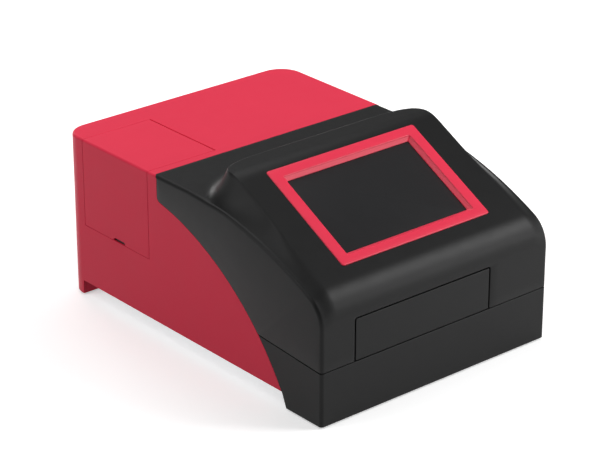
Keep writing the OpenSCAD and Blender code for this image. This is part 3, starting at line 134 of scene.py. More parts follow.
# The display
BEZEL = Vector((193.7, 129.6))
BEZEL_START = 13.7
BEZEL_R = 2.7
BEZEL_FILLET = 0.9
BEZEL_SLANT = 3.6
OPENING_R = 2
SCREEN = Vector((160, 100))
SCREEN_OFF = -0.6
SCREEN_R = 1.5
GLASS = grown(SCREEN, 4)
GLASS_R = 0.9
GLASS_DEPTH = 4
GLASS_T = 1.8
GLASS_EDGE = 0.4
POCKET = grown(GLASS, 0.3)
POCKET_R = 1
LIP_T = 0.8
FLANGE_T = 1.2
PROUD = 0.8
COLLAR = SCREEN + Vector((18, 16))
COLLAR_R = 2
COLLAR_DEPTH = 6.2

# The drawer front
DRAWER_W = 178.6
DRAWER_X = -19
DRAWER_TOP = 104
DRAWER_R = 3
DRAWER_GAP = 1.6
DRAWER_T = 3
MOUTH_R = 0.5
FLAP_RIB_IN = 12
FLAP_RIB_T = 2
FLAP_RIB_DEPTH = 3
FLAP_RIB_Z = (SEAM_H + 9, DRAWER_TOP - 8)

# The access door
DOOR_X = 88 - SIDE_X
DOOR_Y = (SPLIT_Y + 10.5, SPLIT_Y + 122)
DOOR_LOW = 82
DOOR_GAP = 0.4
KNUCKLE_R = 2.4
PIVOT = Vector((DOOR_X - GAP - KNUCKLE_R, CASE_H - KNUCKLE_R))
NOTCH_Y = sum(DOOR_Y) / 2 - 4.8
NOTCH_L = 20
NOTCH_R = 3
NOTCH_LIFT = 0.6
EAR_R = 3
EAR_L = 6.7
EAR_GAP = 0.3
DOOR_RIB_Y = (DOOR_Y[0] + 7, DOOR_Y[1] - 8.5)
DOOR_RIB_X = (7 - SIDE_X, PIVOT.x - 10)
DOOR_RIB_T = 1.5
DOOR_RIB_DROP = 5

# The base's screws, their bosses, and its feet
SCREW_X = SIDE_X - 32
SCREW_ROWS = (FRONT_Y + 14, FRONT_Y + 42)
SCREW_R = 1.7
HEAD_R = 3.4
HEAD_L = 3
BOSS_R = 5.5
BOSS_LOW = 0.6
FOOT_AT = (SIDE_X - 55, FRONT_Y + 22)
FOOT_HOLE_R = 2.5
HOLE_TOP = COVER_WALL + 1.5

# Rear openings, and how far their cutters reach into the case
FAN_AT = Vector((-72, 102))
FAN_OPENING = 30.5
REAR_IN = 10
PANEL_X = (box_mm("connector_panel")[0].x + 4, box_mm("connector_panel")[1].x - 4)
PANEL_Z = (26, 58)

# Places that follow from the sizes: the nose's centre and end, the shoulder's curve, the sweep's centre, and the
# plane of the display
NOSE_Y = FRONT_Y + NOSE_R
NOSE_END = Vector((NOSE_Y - NOSE_R * math.sin(TILT), NOSE_H + NOSE_R * math.cos(TILT)))
SHOULDER_FALL = CASE_H - NOSE_END.y + SHOULDER_DROP
SHOULDER_R = ((SHOULDER_Y - NOSE_END.x) ** 2 + SHOULDER_FALL ** 2) / (2 * SHOULDER_FALL)
SWEEP_CHORD = SWEEP_LOW - SWEEP_TOP
SWEEP_SIDE = Vector((-SWEEP_CHORD.y, SWEEP_CHORD.x)).normalized()
SWEEP_C = (SWEEP_TOP + SWEEP_LOW) / 2 + SWEEP_SIDE * math.sqrt(SWEEP_R ** 2 - SWEEP_CHORD.length_squared / 4)
BEZEL_MID = BEZEL_START + BEZEL.y / 2
SLOPE_AT = (0, NOSE_END.x + BEZEL_MID * math.cos(TILT), NOSE_END.y + BEZEL_MID * math.sin(TILT))
SLOPE = Matrix.Translation(SLOPE_AT) @ Matrix.Rotation(TILT, 4, "X")


# Mesh helpers

def add_mesh(name, points, faces):
    """Object from points in millimetres above the case's lower edge."""
    mesh = bpy.data.meshes.new(name)
    mesh.from_pydata([(x * MM, y * MM, (z + FOOT) * MM) for x, y, z in points], [], faces)
    made = bmesh.new()
    made.from_mesh(mesh)
    bmesh.ops.recalc_face_normals(made, faces=made.faces)
    made.to_mesh(mesh)
    made.free()
    obj = bpy.data.objects.new(name, mesh)
    bpy.context.scene.collection.objects.link(obj)
    return obj


def drop(obj):
    """Remove an object and its mesh."""
    mesh = obj.data
    bpy.data.objects.remove(obj)
    bpy.data.meshes.remove(mesh)


def settle(obj):
    """Put the result of an object's modifiers in its mesh."""
    made = bpy.data.meshes.new_from_object(obj.evaluated_get(bpy.context.evaluated_depsgraph_get()))
    old = obj.data
    obj.modifiers.clear()
    obj.data = made
    bpy.data.meshes.remove(old)
    return obj


def boolean(obj, operation, *tools):
    """Cut obj with the tools or keep what they share, and remove the tools."""
    for tool in tools:
        modifier = obj.modifiers.new("shape", "BOOLEAN")
        modifier.operation = operation
        modifier.solver = "EXACT"
        modifier.object = tool
    settle(obj)
    for tool in tools:
        drop(tool)
    return obj


def cut(obj, *tools):
    return boolean(obj, "DIFFERENCE", *tools)


def keep(obj, tool):
    return boolean(obj, "INTERSECT", tool)


def merge(obj, *others):
    """Join other objects' meshes into obj."""
    made = bmesh.new()
    for part in (obj, *others):
        made.from_mesh(part.data)
    made.to_mesh(obj.data)
    made.free()
    for part in others:
        drop(part)
    return obj


def smooth(obj, angle=35):
    """Shade smooth, except where faces meet at more than angle degrees."""
    obj.data.shade_smooth()
    obj.data.set_sharp_from_angle(angle=math.radians(angle))
    return obj


# Points closer than WELD are one point, faces that meet at less than FLAT_ANGLE are one face, and edges above
# SHARP_ANGLE are rounded
WELD = 0.01
FLAT_ANGLE = math.radians(0.3)
SHARP_ANGLE = math.radians(38)


def soften(obj, width, steps=2):
    """Round the sharp edges by width, and keep the flat faces flat in the shading."""
    made = bmesh.new()
    made.from_mesh(obj.data)
    bmesh.ops.remove_doubles(made, verts=made.verts, dist=WELD * MM)
    bmesh.ops.dissolve_limit(made, angle_limit=FLAT_ANGLE, verts=made.verts, edges=made.edges)
    made.to_mesh(obj.data)
    made.free()
    bevel = obj.modifiers.new("edges", "BEVEL")
    bevel.width = width * MM
    bevel.segments = steps
    bevel.limit_method = "ANGLE"
    bevel.angle_limit = SHARP_ANGLE
    bevel.use_clamp_overlap = False
    bevel.miter_outer = "MITER_ARC"
    settle(obj)
    smooth(obj, 40)
    weighted = obj.modifiers.new("normals", "WEIGHTED_NORMAL")
    weighted.keep_sharp = True
    weighted.weight = 80
    return settle(obj)


def arc(centre, radius, start, end, steps):
    """Points on an arc, in degrees."""
    turns = [math.radians(start + (end - start) * k / steps) for k in range(steps + 1)]
    return [(centre[0] + radius * math.cos(a), centre[1] + radius * math.sin(a)) for a in turns]


def round_rect(w, l, r, off=0.0):
    """Rectangle with round corners, moved by off along its length."""
    points = []
    for k, (sx, sy) in enumerate([(1, 1), (-1, 1), (-1, -1), (1, -1)]):
        centre = (sx * (w / 2 - r), off + sy * (l / 2 - r))
        points += arc(centre, r, 90 * k, 90 * k + 90, 6)
    return points


def loft(name, rings, closed=False):
    """Skin over rings with the same number of points; open ends get a flat cap."""
    n = len(rings[0])
    rows = len(rings)
    faces = []
    for i in range(rows if closed else rows - 1):
        a, b = i * n, (i + 1) % rows * n
        faces += [(a + k, a + (k + 1) % n, b + (k + 1) % n, b + k) for k in range(n)]
    if not closed:
        faces += [tuple(range(n)), tuple(range((rows - 1) * n, rows * n))]
    return add_mesh(name, [p for ring in rings for p in ring], faces)


def prism(name, outline, axis, start, end):
    """Outline extruded along an axis. It is drawn in (Y, Z) for X, (X, Z) for Y and (X, Y) for Z."""
    place = {"X": lambda p, d: (d, *p), "Y": lambda p, d: (p[0], d, p[1]), "Z": lambda p, d: (*p, d)}[axis]
    return loft(name, [[place(p, d) for p in outline] for d in (start, end)])


def block(name, low, high):
    """Box between two corners."""
    (x1, y1, z1), (x2, y2, z2) = low, high
    return prism(name, [(x1, y1), (x2, y1), (x2, y2), (x1, y2)], "Z", z1, z2)


def bar(name, axis, centre, radius, start, end, steps=48):
    """Round bar or hole cutter along an axis."""
    outline = arc(centre, radius, 0, 360 * (steps - 1) / steps, steps - 1)
    return prism(name, outline, axis, start, end)


# Shape of the case

def plan(inset):
    """Plan of the whole case, moved in from its walls, from the rear right corner round."""
    front_r = max(EDGE_R - inset, MIN_EDGE_R)
    right_r, left_r = RIGHT_CORNER_R - inset, LEFT_CORNER_R - inset
    w = SIDE_X - inset
    points = arc((w - right_r, REAR_Y - inset - right_r), right_r, 0, 90, 16)
    points += arc((-w + left_r, REAR_Y - inset - left_r), left_r, 90, 180, 16)
    points += arc((-w + front_r, FRONT_Y + inset + front_r), front_r, 180, 270, 8)
    points += arc((w - front_r, FRONT_Y + inset + front_r), front_r, 270, 360, 8)
    return points


def sweep_y(z):
    """Where the swept joint runs at a height."""
    return SWEEP_C.x - math.sqrt(SWEEP_R ** 2 - (z - SWEEP_C.y) ** 2)


def sweep_turn(y, z):
    """Angle of a place on the swept joint, round the sweep's centre."""
    return math.atan2(z - SWEEP_C.y, y - SWEEP_C.x) % math.tau


def sweep_at(turn, radius=SWEEP_R):
    """Place on the swept joint at an angle."""
    return SWEEP_C.x + radius * math.cos(turn), SWEEP_C.y + radius * math.sin(turn)


BLEND_TURN = sweep_turn(*SWEEP_TOP) + SWEEP_BLEND / SWEEP_R


def joint_blend(gap, steps=4):
    """Round corner between the swept joint and its upright end, from the sweep up."""
    start = Vector(sweep_at(BLEND_TURN, SWEEP_R - gap))
    corner = Vector((SWEEP_TOP.x + gap, SWEEP_TOP.y - gap / 2))
    end = Vector((SWEEP_TOP.x + gap, SWEEP_TOP.y + SWEEP_BLEND))
    return [tuple(start * (1 - t) ** 2 + corner * 2 * t * (1 - t) + end * t ** 2)
            for t in (k / steps for k in range(1, steps + 1))]


def joint_y(x, z):
    """The joint over the top, slanted round the top edge to its upright end on the side."""
    return SPLIT_Y - JOINT_STEP * np.clip((np.abs(x) - SIDE_X + EDGE_R + CASE_H - z) / (2 * EDGE_R), 0, 1)


# Where the seam meets the swept joint
MEET_Z = SEAM_H + SEAM_RISE
MEET_Y = sweep_y(MEET_Z)


def seam_at(y):
    """Height of the seam along the side."""
    return SEAM_H + SEAM_RISE * np.maximum(0, y - FRONT_Y - EDGE_R) / (MEET_Y - FRONT_Y - EDGE_R)


def shoulder_z(y):
    """Height of the cover outside the console: a curve up to the flat top."""
    curve = CASE_H - SHOULDER_R + np.sqrt(SHOULDER_R ** 2 - np.minimum(0, y - SHOULDER_Y) ** 2)
    return np.where(y > SHOULDER_Y, CASE_H, curve)


def console_z(y):
    """Height of the console: the display's slope, with a soft turn into the flat ridge."""
    slope = NOSE_END.y + math.tan(TILT) * (y - NOSE_END.x)
    blend = np.maximum(0, RIDGE_BLEND - np.abs(slope - RIDGE_H)) / RIDGE_BLEND
    return np.minimum(slope, RIDGE_H) - blend ** 2 * RIDGE_BLEND / 4


def power_norm(u, v, n):
    """Distance from the middle in units of a rounded rectangle, squarer as n grows."""
    return (u ** n + v ** n) ** (1 / n)


def soft_floor(v, soft):
    """v, never below 0, with the bend at 0 rounded."""
    return np.where(v > soft, v, np.clip(v + soft, 0, 2 * soft) ** 2 / (4 * soft))


def eased(v, start, end):
    """0 before start, 1 after end, and a smooth step between."""
    t = np.clip((v - start) / (end - start), 0, 1)
    return t * t * (3 - 2 * t)


# Keeps the division in the share away from zero
TINY = 1e-6


def console_share(x, y):
    """How much of the console's height stands at a place: 1 inside its crest, 0 outside its foot."""
    back = np.maximum(0, y - CONSOLE_Y)
    crest = power_norm(np.abs(x) / CREST_X, back / CREST_REACH, CREST_POWER)
    foot = power_norm(np.abs(x) / SIDE_X, back / FOOT_REACH, FOOT_POWER)
    s = (crest - 1) * foot / np.maximum(crest - foot, TINY)
    s = np.where(crest <= foot + TINY, -1, s)
    s = np.clip(soft_floor(s, CREASE_SOFT), 0, 1)
    steep = eased(y, *FLANK_Y)
    return (1 - eased(s, 0, 1)) * (1 - steep) + (1 - s) ** FLANK_POWER * steep


def cover_z(x, y):
    """Height of the cover's outer skin behind the nose."""
    return shoulder_z(y) + np.maximum(0, console_z(y) - shoulder_z(y)) * console_share(x, y)


def spaced(start, end, steps, packed=False):
    """Places after start, up to end, packed towards the end if asked."""
    t = np.arange(1, steps + 1) / steps
    if packed:
        t = np.sin(t * math.pi / 2)
    return list(start + (end - start) * t)


# Rows of the cover's skin up the front, round the nose and along the top, and its columns over the console, down
# the flank and round the edge
CREST_END = CONSOLE_Y + CREST_REACH
FRONT_STEPS = 4
NOSE_STEPS = 18
TOP_Y = np.array(spaced(NOSE_END.x, CONSOLE_Y, 14) + spaced(CONSOLE_Y, CREST_END, 30, packed=True)
                 + spaced(CREST_END, SPLIT_Y, 22))
CREST_COLS = 14
FLANK_COLS = 18
EDGE_COLS = 6

# The least share of its width that the console's block of columns keeps, how far before the joint its rows start to
# bend, and the step that slopes are measured over
CREST_SHARE = 0.5
JOINT_REACH = 16
SLOPE_STEP = 0.25


def crest_x(y):
    """Half the width of the console's crest."""
    t = np.clip((y - CONSOLE_Y) / CREST_REACH, 0, 1)
    return CREST_X * np.maximum(CREST_SHARE, (1 - t ** CREST_POWER) ** (1 / CREST_POWER))


def rise_at(x, y):
    """Slope of the outer skin from front to back."""
    return (cover_z(x, y + SLOPE_STEP) - cover_z(x, y - SLOPE_STEP)) / (2 * SLOPE_STEP)


def section(x, turn, y):
    """Point [y, z] and normal of the outer skin at x: round the nose where turn is given, else at y."""
    if turn is None:
        rise = rise_at(x, y)
        length = math.hypot(rise, 1)
        return (y, float(cover_z(x, y))), (-rise / length, 1 / length)
    low = NOSE_H - SHOULDER_DROP * (1 - float(console_share(x, NOSE_END.x)))
    normal = (math.cos(turn), math.sin(turn))
    return (NOSE_Y + NOSE_R * normal[0], low + NOSE_R * normal[1]), normal


def under(x, y, wall):
    """Drop of the inner skin below the outer one, so that the wall is measured square to it."""
    lean = (cover_z(x + SLOPE_STEP, y) - cover_z(x - SLOPE_STEP, y)) / (2 * SLOPE_STEP)
    return wall * math.sqrt(1 + rise_at(x, y) ** 2 + lean ** 2)


def cover_columns(y):
    """Sideways places from the middle to the start of the round edge."""
    inner = [float(crest_x(y)) * math.sin(math.pi / 2 * k / CREST_COLS) for k in range(CREST_COLS + 1)]
    return inner + spaced(inner[-1], SIDE_X - EDGE_R, FLANK_COLS)


def cover_row(turn, y, front_z, low, wall):
    """One row of the front cover's skin, from the middle to the lower edge of its right side. It lies on the front
    at the height front_z, round the nose at the angle turn, or on top at y."""
    row = []
    columns = cover_columns(NOSE_END.x if y is None else y)
    for x in columns:
        at, normal = section(x, turn, y)
        if front_z is not None:
            at, normal = (FRONT_Y, front_z), (-1, 0)
        if y is None:
            row.append((x, at[0] - wall * normal[0], at[1] - wall * normal[1]))
        else:
            row.append((x, y, at[1] - under(x, y, wall)))
    for k in range(1, EDGE_COLS + 1):
        a = math.pi / 2 * k / EDGE_COLS
        r = EDGE_R - wall
        sink = EDGE_R - r * math.cos(a)
        row.append((columns[-1] + r * math.sin(a), at[0] - sink * normal[0], at[1] - sink * normal[1]))
    row.append((SIDE_X - wall, *low))
    return row


def lower_edges(front_rows, rows):
    """Places along the seam, then up the swept joint, one for each row."""
    blend = joint_blend(0)
    reach = MEET_Y - FRONT_Y - EDGE_R
    seam = [FRONT_Y + EDGE_R + reach * i / (front_rows - 1) for i in range(front_rows)]
    start = sweep_turn(MEET_Y, MEET_Z)
    steps = rows - front_rows - len(blend)
    sweep = [sweep_at(start + (BLEND_TURN - start) * (k + 1) / steps) for k in range(steps)]
    return [(y, float(seam_at(y))) for y in seam] + sweep + blend


def cover_skin(wall):
    """Grid of a skin of the front cover, the given wall inside the outer skin."""
    fronts = [SEAM_H + (NOSE_H - SHOULDER_DROP - SEAM_H) * k / FRONT_STEPS for k in range(FRONT_STEPS)]
    turns = [math.pi - (math.pi / 2 - TILT) * k / NOSE_STEPS for k in range(NOSE_STEPS + 1)]
    rows = [(math.pi, None, z) for z in fronts]
    rows += [(t, None, None) for t in turns] + [(None, y, None) for y in TOP_Y]
    lows = lower_edges(FRONT_STEPS + NOSE_STEPS + 1, len(rows))
    grid = []
    for (turn, y, front_z), low in zip(rows, lows):
        right = cover_row(turn, y, front_z, low, wall)
        left = [(-x, py, pz) for x, py, pz in right[:0:-1]]
        grid.append(left + right)
    return np.array(grid)


def joint_pull(skin, outer):
    """Move along Y that ends a skin of the cover at the slanted joint, no further back than the outer skin."""
    x, y, z = (skin[..., k] for k in range(3))
    end = np.minimum(joint_y(x, z), joint_y(outer[..., 0], outer[..., 2]))
    pull = (end - SPLIT_Y) * np.clip((y - SPLIT_Y) / JOINT_REACH + 1, 0, 1)
    pull[:, (0, -1)] = 0
    return pull


def thick_sheet(name, outer, inner, steps=3):
    """Closed shell between two grids, with a round outer rim."""
    rows, cols = outer.shape[:2]
    loop = ([(0, j) for j in range(cols)] + [(i, cols - 1) for i in range(1, rows)]
            + [(rows - 1, j) for j in range(cols - 2, -1, -1)] + [(i, 0) for i in range(rows - 2, 0, -1)])
    rings = [[] for _ in range(steps)]
    moved = {}
    for i, j in loop:
        inside = outer[min(max(i, 1), rows - 2), min(max(j, 1), cols - 2)]
        out = outer[i, j] - inside
        out /= np.linalg.norm(out)
        normal = outer[i, j] - inner[i, j]
        normal /= np.linalg.norm(normal)
        for k in range(steps):
            a = math.pi / 2 * (k + 1) / steps
            rings[k].append(outer[i, j] - RIM_R * (1 - math.sin(a)) * out - RIM_R * (1 - math.cos(a)) * normal)
        moved[i, j] = outer[i, j] - RIM_R * out
    outer = outer.copy()
    for (i, j), p in moved.items():
        outer[i, j] = p
    n = rows * cols
    points = [*outer.reshape(-1, 3), *inner.reshape(-1, 3), *(p for ring in rings for p in ring)]
    faces = []
    for base in (0, n):
        for i in range(rows - 1):
            for j in range(cols - 1):
                a = base + i * cols + j
                faces.append((a, a + 1, a + cols + 1, a + cols))
    at = [i * cols + j for i, j in loop]
    bands = [at] + [[2 * n + k * len(loop) + q for q in range(len(loop))] for k in range(steps)]
    bands.append([n + q for q in at])
    for a, b in zip(bands, bands[1:]):
        faces += [(a[k - 1], a[k], b[k], b[k - 1]) for k in range(len(loop))]
    return add_mesh(name, [tuple(map(float, p)) for p in points], faces)


def to_slope(points, z):
    """Points of the display plane, as points of the case."""
    return [tuple(SLOPE @ Vector((x, y, z))) for x, y in points]


def slope_slab(name, size, r, low, high):
    """Slab on the display plane, between two heights over it."""
    return loft(name, [to_slope(round_rect(*size, r), z) for z in (low, high)])


# The pieces of the case

def drawer_outline(gap):
    """Front view of the drawer opening, made smaller by gap."""
    w = DRAWER_W / 2 - gap
    r = DRAWER_R - gap
    top = DRAWER_TOP - gap
    points = [(DRAWER_X - w, SEAM_H + GAP), (DRAWER_X + w, SEAM_H + GAP)]
    points += arc((DRAWER_X + w - r, top - r), r, 0, 90, 6)
    points += arc((DRAWER_X - w + r, top - r), r, 90, 180, 6)
    return points


def opening_cutter():
    """Cutter of the drawer opening, with a flared mouth that rounds the opening's edge."""
    depths = [(-PAST, -MOUTH_R)]
    depths += [(MOUTH_R * (1 - math.sin(a)), MOUTH_R * (math.cos(a) - 1)) for a in np.linspace(math.pi / 2, 0, 4)]
    depths.append((COVER_WALL + 2 * PAST, 0.0))
    rings = []
    for depth, gap in depths:
        outline = [(x, z if z > SEAM_H + PAST else SEAM_H - 3 * PAST) for x, z in drawer_outline(gap)]
        rings.append([(x, FRONT_Y + depth, z) for x, z in outline])
    return loft("cutter", rings)


def make_front_cover():
    """Black cover: one smooth skin with the drawer's opening, the bezel's recess and the collar's hole."""
    outer, inner = cover_skin(0.0), cover_skin(COVER_WALL)
    inner[..., 1] += joint_pull(inner, outer)
    outer[..., 1] += joint_pull(outer, outer)
    cover = thick_sheet("cover_moulding", outer, inner)
    cut(cover, opening_cutter(),
        slope_slab("cutter", grown(BEZEL, GAP), BEZEL_R + GAP, -FLANGE_T, SLOPE_OUT),
        slope_slab("cutter", grown(COLLAR, GAP), COLLAR_R, -SLOPE_IN, PAST))
    return smooth(cover, 32)


def base_outline():
    """Side view of the base, with the seam, the swept joint and the slanted foot bar."""
    points = [(FRONT_Y - PAST, -PAST), (FRONT_Y - PAST, SEAM_H - SEAM_GAP), (FRONT_Y + EDGE_R, SEAM_H - SEAM_GAP)]
    steps = 12
    for k in range(steps + 1):
        z = MEET_Z - SEAM_GAP + (SWEEP_LOW.y - MEET_Z + SEAM_GAP) * k / steps
        points.append((sweep_y(z), z))
    return points + [(SWEEP_LOW.x - BAR_SLANT, 0), (SWEEP_LOW.x - BAR_SLANT, -PAST)]


def make_base():
    """Black base: a tray with a slanted foot bar at its rear end, holes for feet and screws, and screw bosses."""
    base = prism("base_moulding", plan(0), "Z", 0, CASE_H)
    keep(base, prism("side", base_outline(), "X", -SIDE_X - PAST, SIDE_X + PAST))
    hollow = prism("cutter", plan(COVER_WALL), "Z", COVER_WALL, CASE_H)
    start = SWEEP_LOW.x - COVER_WALL
    end = start + BAR_CUT_L
    foot_bar = [(start - BAR_SLANT, -PAST), (start, SWEEP_LOW.y), (end, SWEEP_LOW.y), (end, -PAST)]
    cut(hollow, prism("end", foot_bar, "X", -SIDE_X - 2 * PAST, SIDE_X + 2 * PAST))
    cut(base, hollow)
    screws = [(s * SCREW_X, y) for s in (-1, 1) for y in SCREW_ROWS]
    for s in (-1, 1):
        cut(base, bar("hole", "Z", (s * FOOT_AT[0], FOOT_AT[1]), FOOT_HOLE_R, -PAST, HOLE_TOP, 24))
    for at in screws:
        cut(base, bar("hole", "Z", at, HEAD_R, -PAST, HOLE_TOP, 32))
    soften(base, 0.5, 3)
    top = box_mm("chassis")[0].z
    bosses = []
    for at in screws:
        post = bar("boss", "Z", at, BOSS_R, BOSS_LOW, top, 32)
        cut(post, bar("hole", "Z", at, SCREW_R, 0, top + PAST, 24), bar("hole", "Z", at, HEAD_R, 0, HEAD_L, 32))
        bosses.append(smooth(post))
    return merge(base, *bosses)


def housing_outline():
    """Side view of the red housing behind the swept joint."""
    points = [(SWEEP_TOP.x + GAP, CASE_H + PAST), *joint_blend(GAP)[::-1]]
    low = math.pi - math.asin((SIDE_LIFT - SWEEP_C.y) / (SWEEP_R - GAP))
    steps = 32
    points += [sweep_at(BLEND_TURN + (low - BLEND_TURN) * k / steps, SWEEP_R - GAP) for k in range(steps + 1)]
    return points + [(REAR_Y - REAR_BAR, SIDE_LIFT), (REAR_Y - REAR_BAR, -PAST), (REAR_Y + PAST, -PAST),
                     (REAR_Y + PAST, CASE_H + PAST)]


def housing_skin(name):
    """The housing before its openings are cut: walls, round top edge and flat top."""
    rings = [(0, 0)] + [(TOP_R * (1 - math.cos(a)), CASE_H - TOP_R * (1 - math.sin(a)))
                        for a in np.linspace(0, math.pi / 2, 7)]
    skin = loft(name, [[(x, y, z) for x, y in plan(inset)] for inset, z in rings])
    cut(skin, prism("cutter", plan(SKIN), "Z", -5 * PAST, CASE_H - SKIN))
    keep(skin, prism("side", housing_outline(), "X", -SIDE_X - PAST, SIDE_X + PAST))
    middle = SIDE_X - EDGE_R - 2 * PAST
    low, high = CASE_H - SKIN - PAST, CASE_H + 3 * PAST
    return cut(skin, block("joint", (-middle, FRONT_Y, low), (middle, SPLIT_Y + GAP, high)),
               joint_corner(-1), joint_corner(1))


def joint_corner(s):
    """Wedge, 8 mm wide inside and 14 mm high, that slants the joint's corner round the housing's top edge."""
    corner = (s * (SIDE_X - EDGE_R), 0, CASE_H)
    turned = Matrix.Translation(corner) @ Matrix.Rotation(math.radians(45 * s), 4, "Y")
    y, reach = SPLIT_Y + GAP, EDGE_R * math.sqrt(2)
    outline = [(-8, FRONT_Y), (-8, y), (0, y), (reach, y - JOINT_STEP), (reach, FRONT_Y)]
    return loft("wedge", [[tuple(turned @ Vector((s * a, b, c))) for a, b in outline] for c in (-6, 8)])


def door_space(gap, right):
    """The access door's L, over the top edge and down the side."""
    out_x, in_x = -SIDE_X - 5 * PAST, -SIDE_X + SKIN + PAST
    in_z, out_z = CASE_H - SKIN - PAST, CASE_H + 5 * PAST
    outline = [(out_x, DOOR_LOW + gap), (in_x, DOOR_LOW + gap), (in_x, in_z), (right, in_z), (right, out_z),
               (out_x, out_z)]
    return prism("door", outline, "Y", DOOR_Y[0] + gap, DOOR_Y[1] - gap)


def make_housing():
    """Red housing: the skin with the door's, the fan's and the panel's openings, and ears for the door's pin."""
    housing = housing_skin("housing_shell")
    start, end = REAR_Y - REAR_IN, REAR_Y + 5 * PAST
    cut(housing, door_space(0, DOOR_X), bar("hole", "Y", tuple(FAN_AT), FAN_OPENING, start, end, 96),
        block("hole", (PANEL_X[0], start, PANEL_Z[0]), (PANEL_X[1], end, PANEL_Z[1])))
    soften(housing, 0.4)
    ears = []
    for y in (DOOR_Y[0] - EAR_GAP - EAR_L, DOOR_Y[1] + EAR_GAP):
        low, high = (PIVOT.x - EAR_R, y, PIVOT.y - EAR_R), (PIVOT.x + EAR_R, y + EAR_L, CASE_H - SKIN + SINK)
        ears.append(soften(block("ear", low, high), 0.3))
    return merge(housing, *ears)


def make_door():
    """Red door: an L cut from the housing's skin, with a finger notch, its hinge roll and two ribs."""
    door = keep(housing_skin("door_panel"), door_space(DOOR_GAP, PIVOT.x))
    y1, y2 = NOTCH_Y - NOTCH_L / 2, NOTCH_Y + NOTCH_L / 2
    z = DOOR_LOW + NOTCH_LIFT
    notch = [(y2, DOOR_LOW - PAST), *arc((y2 - NOTCH_R, z), NOTCH_R, 0, 90, 6),
             *arc((y1 + NOTCH_R, z), NOTCH_R, 90, 180, 6), (y1, DOOR_LOW - PAST)]
    cut(door, prism("notch", notch, "X", -SIDE_X - PAST, -SIDE_X + SKIN + PAST))
    soften(door, 0.35)
    roll = smooth(bar("roll", "Y", tuple(PIVOT), KNUCKLE_R, DOOR_Y[0] + DOOR_GAP, DOOR_Y[1] - DOOR_GAP))
    low, high = CASE_H - SKIN - DOOR_RIB_DROP, CASE_H - SKIN + SINK
    ribs = [soften(block("rib", (DOOR_RIB_X[0], y, low), (DOOR_RIB_X[1], y + DOOR_RIB_T, high)), 0.3)
            for y in DOOR_RIB_Y]
    return merge(door, roll, *ribs)


def make_drawer_front():
    """Black flap of the drawer, with two ribs behind it."""
    back_y = FRONT_Y + DRAWER_T
    front = soften(prism("drawer_flap", drawer_outline(DRAWER_GAP), "Y", FRONT_Y, back_y), 0.5, 3)
    ribs = []
    for s in (-1, 1):
        x = DRAWER_X + s * (DRAWER_W / 2 - FLAP_RIB_IN)
        rib = block("rib", (x - FLAP_RIB_T / 2, back_y - SINK, FLAP_RIB_Z[0]),
                    (x + FLAP_RIB_T / 2, back_y + FLAP_RIB_DEPTH, FLAP_RIB_Z[1]))
        ribs.append(soften(rib, 0.3))
    return merge(front, *ribs)


def make_bezel():
    """Red frame: flange, collar through the console, lip over the glass, slanted inner walls."""
    outer, opening = [], []
    for a in np.linspace(0, math.pi / 2, 5):
        back, sink = BEZEL_FILLET * (1 - math.cos(a)), BEZEL_FILLET * (1 - math.sin(a))
        outer.append((grown(BEZEL, -back), BEZEL_R - back, PROUD - sink, 0))
        opening.append((grown(SCREEN, BEZEL_SLANT + back), OPENING_R + back, PROUD - sink, SCREEN_OFF))
    rings = [(COLLAR, COLLAR_R, -COLLAR_DEPTH, 0), (COLLAR, COLLAR_R, -FLANGE_T, 0), (BEZEL, BEZEL_R, -FLANGE_T, 0),
             *outer, *opening[::-1], (SCREEN, SCREEN_R, -GLASS_DEPTH + LIP_T, SCREEN_OFF),
             (SCREEN, SCREEN_R, -GLASS_DEPTH, SCREEN_OFF), (POCKET, POCKET_R, -GLASS_DEPTH, SCREEN_OFF),
             (POCKET, POCKET_R, -COLLAR_DEPTH, SCREEN_OFF)]
    placed = [to_slope(round_rect(*size, r, off), z) for size, r, z, off in rings]
    return smooth(loft("bezel_frame", placed, closed=True), 30)


def make_glass():
    """Glass behind the bezel's lip, with a round front edge."""
    rings = [(0, -GLASS_DEPTH - GLASS_T)]
    for a in np.linspace(0, math.pi / 2, 4):
        rings.append((GLASS_EDGE * (1 - math.cos(a)), -GLASS_DEPTH - GLASS_EDGE * (1 - math.sin(a))))
    placed = [to_slope(round_rect(*grown(GLASS, -inset), GLASS_R, SCREEN_OFF), z) for inset, z in rings]
    return smooth(loft("glass_pane", placed), 30)


# Materials

# Sockets of a Mix node: its factor, the two numbers and the two colours that it mixes, and the mixed colour
MIX_FACTOR = 0
MIX_NUMBERS = (2, 3)
MIX_COLOURS = (6, 7)
MIXED_COLOUR = 2

# Share by which the roughness goes up and down, and the depth of the fine grain
ROUGH_SPREAD = 0.12
GRAIN_DEPTH = 0.1

BLACK = (0.0102, 0.0102, 0.0104)
RED = (0.763, 0.033, 0.076)
DARK = (0.02, 0.02, 0.02)
looks = {}


def ranged(tree, value, low, high, start=0.0, end=1.0):
    """Map a value's range from start to end onto low to high."""
    level = tree.nodes.new("ShaderNodeMapRange")
    for socket, limit in (("From Min", start), ("From Max", end), ("To Min", low), ("To Max", high)):
        level.inputs[socket].default_value = limit
    tree.links.new(value, level.inputs["Value"])
    return level.outputs["Result"]


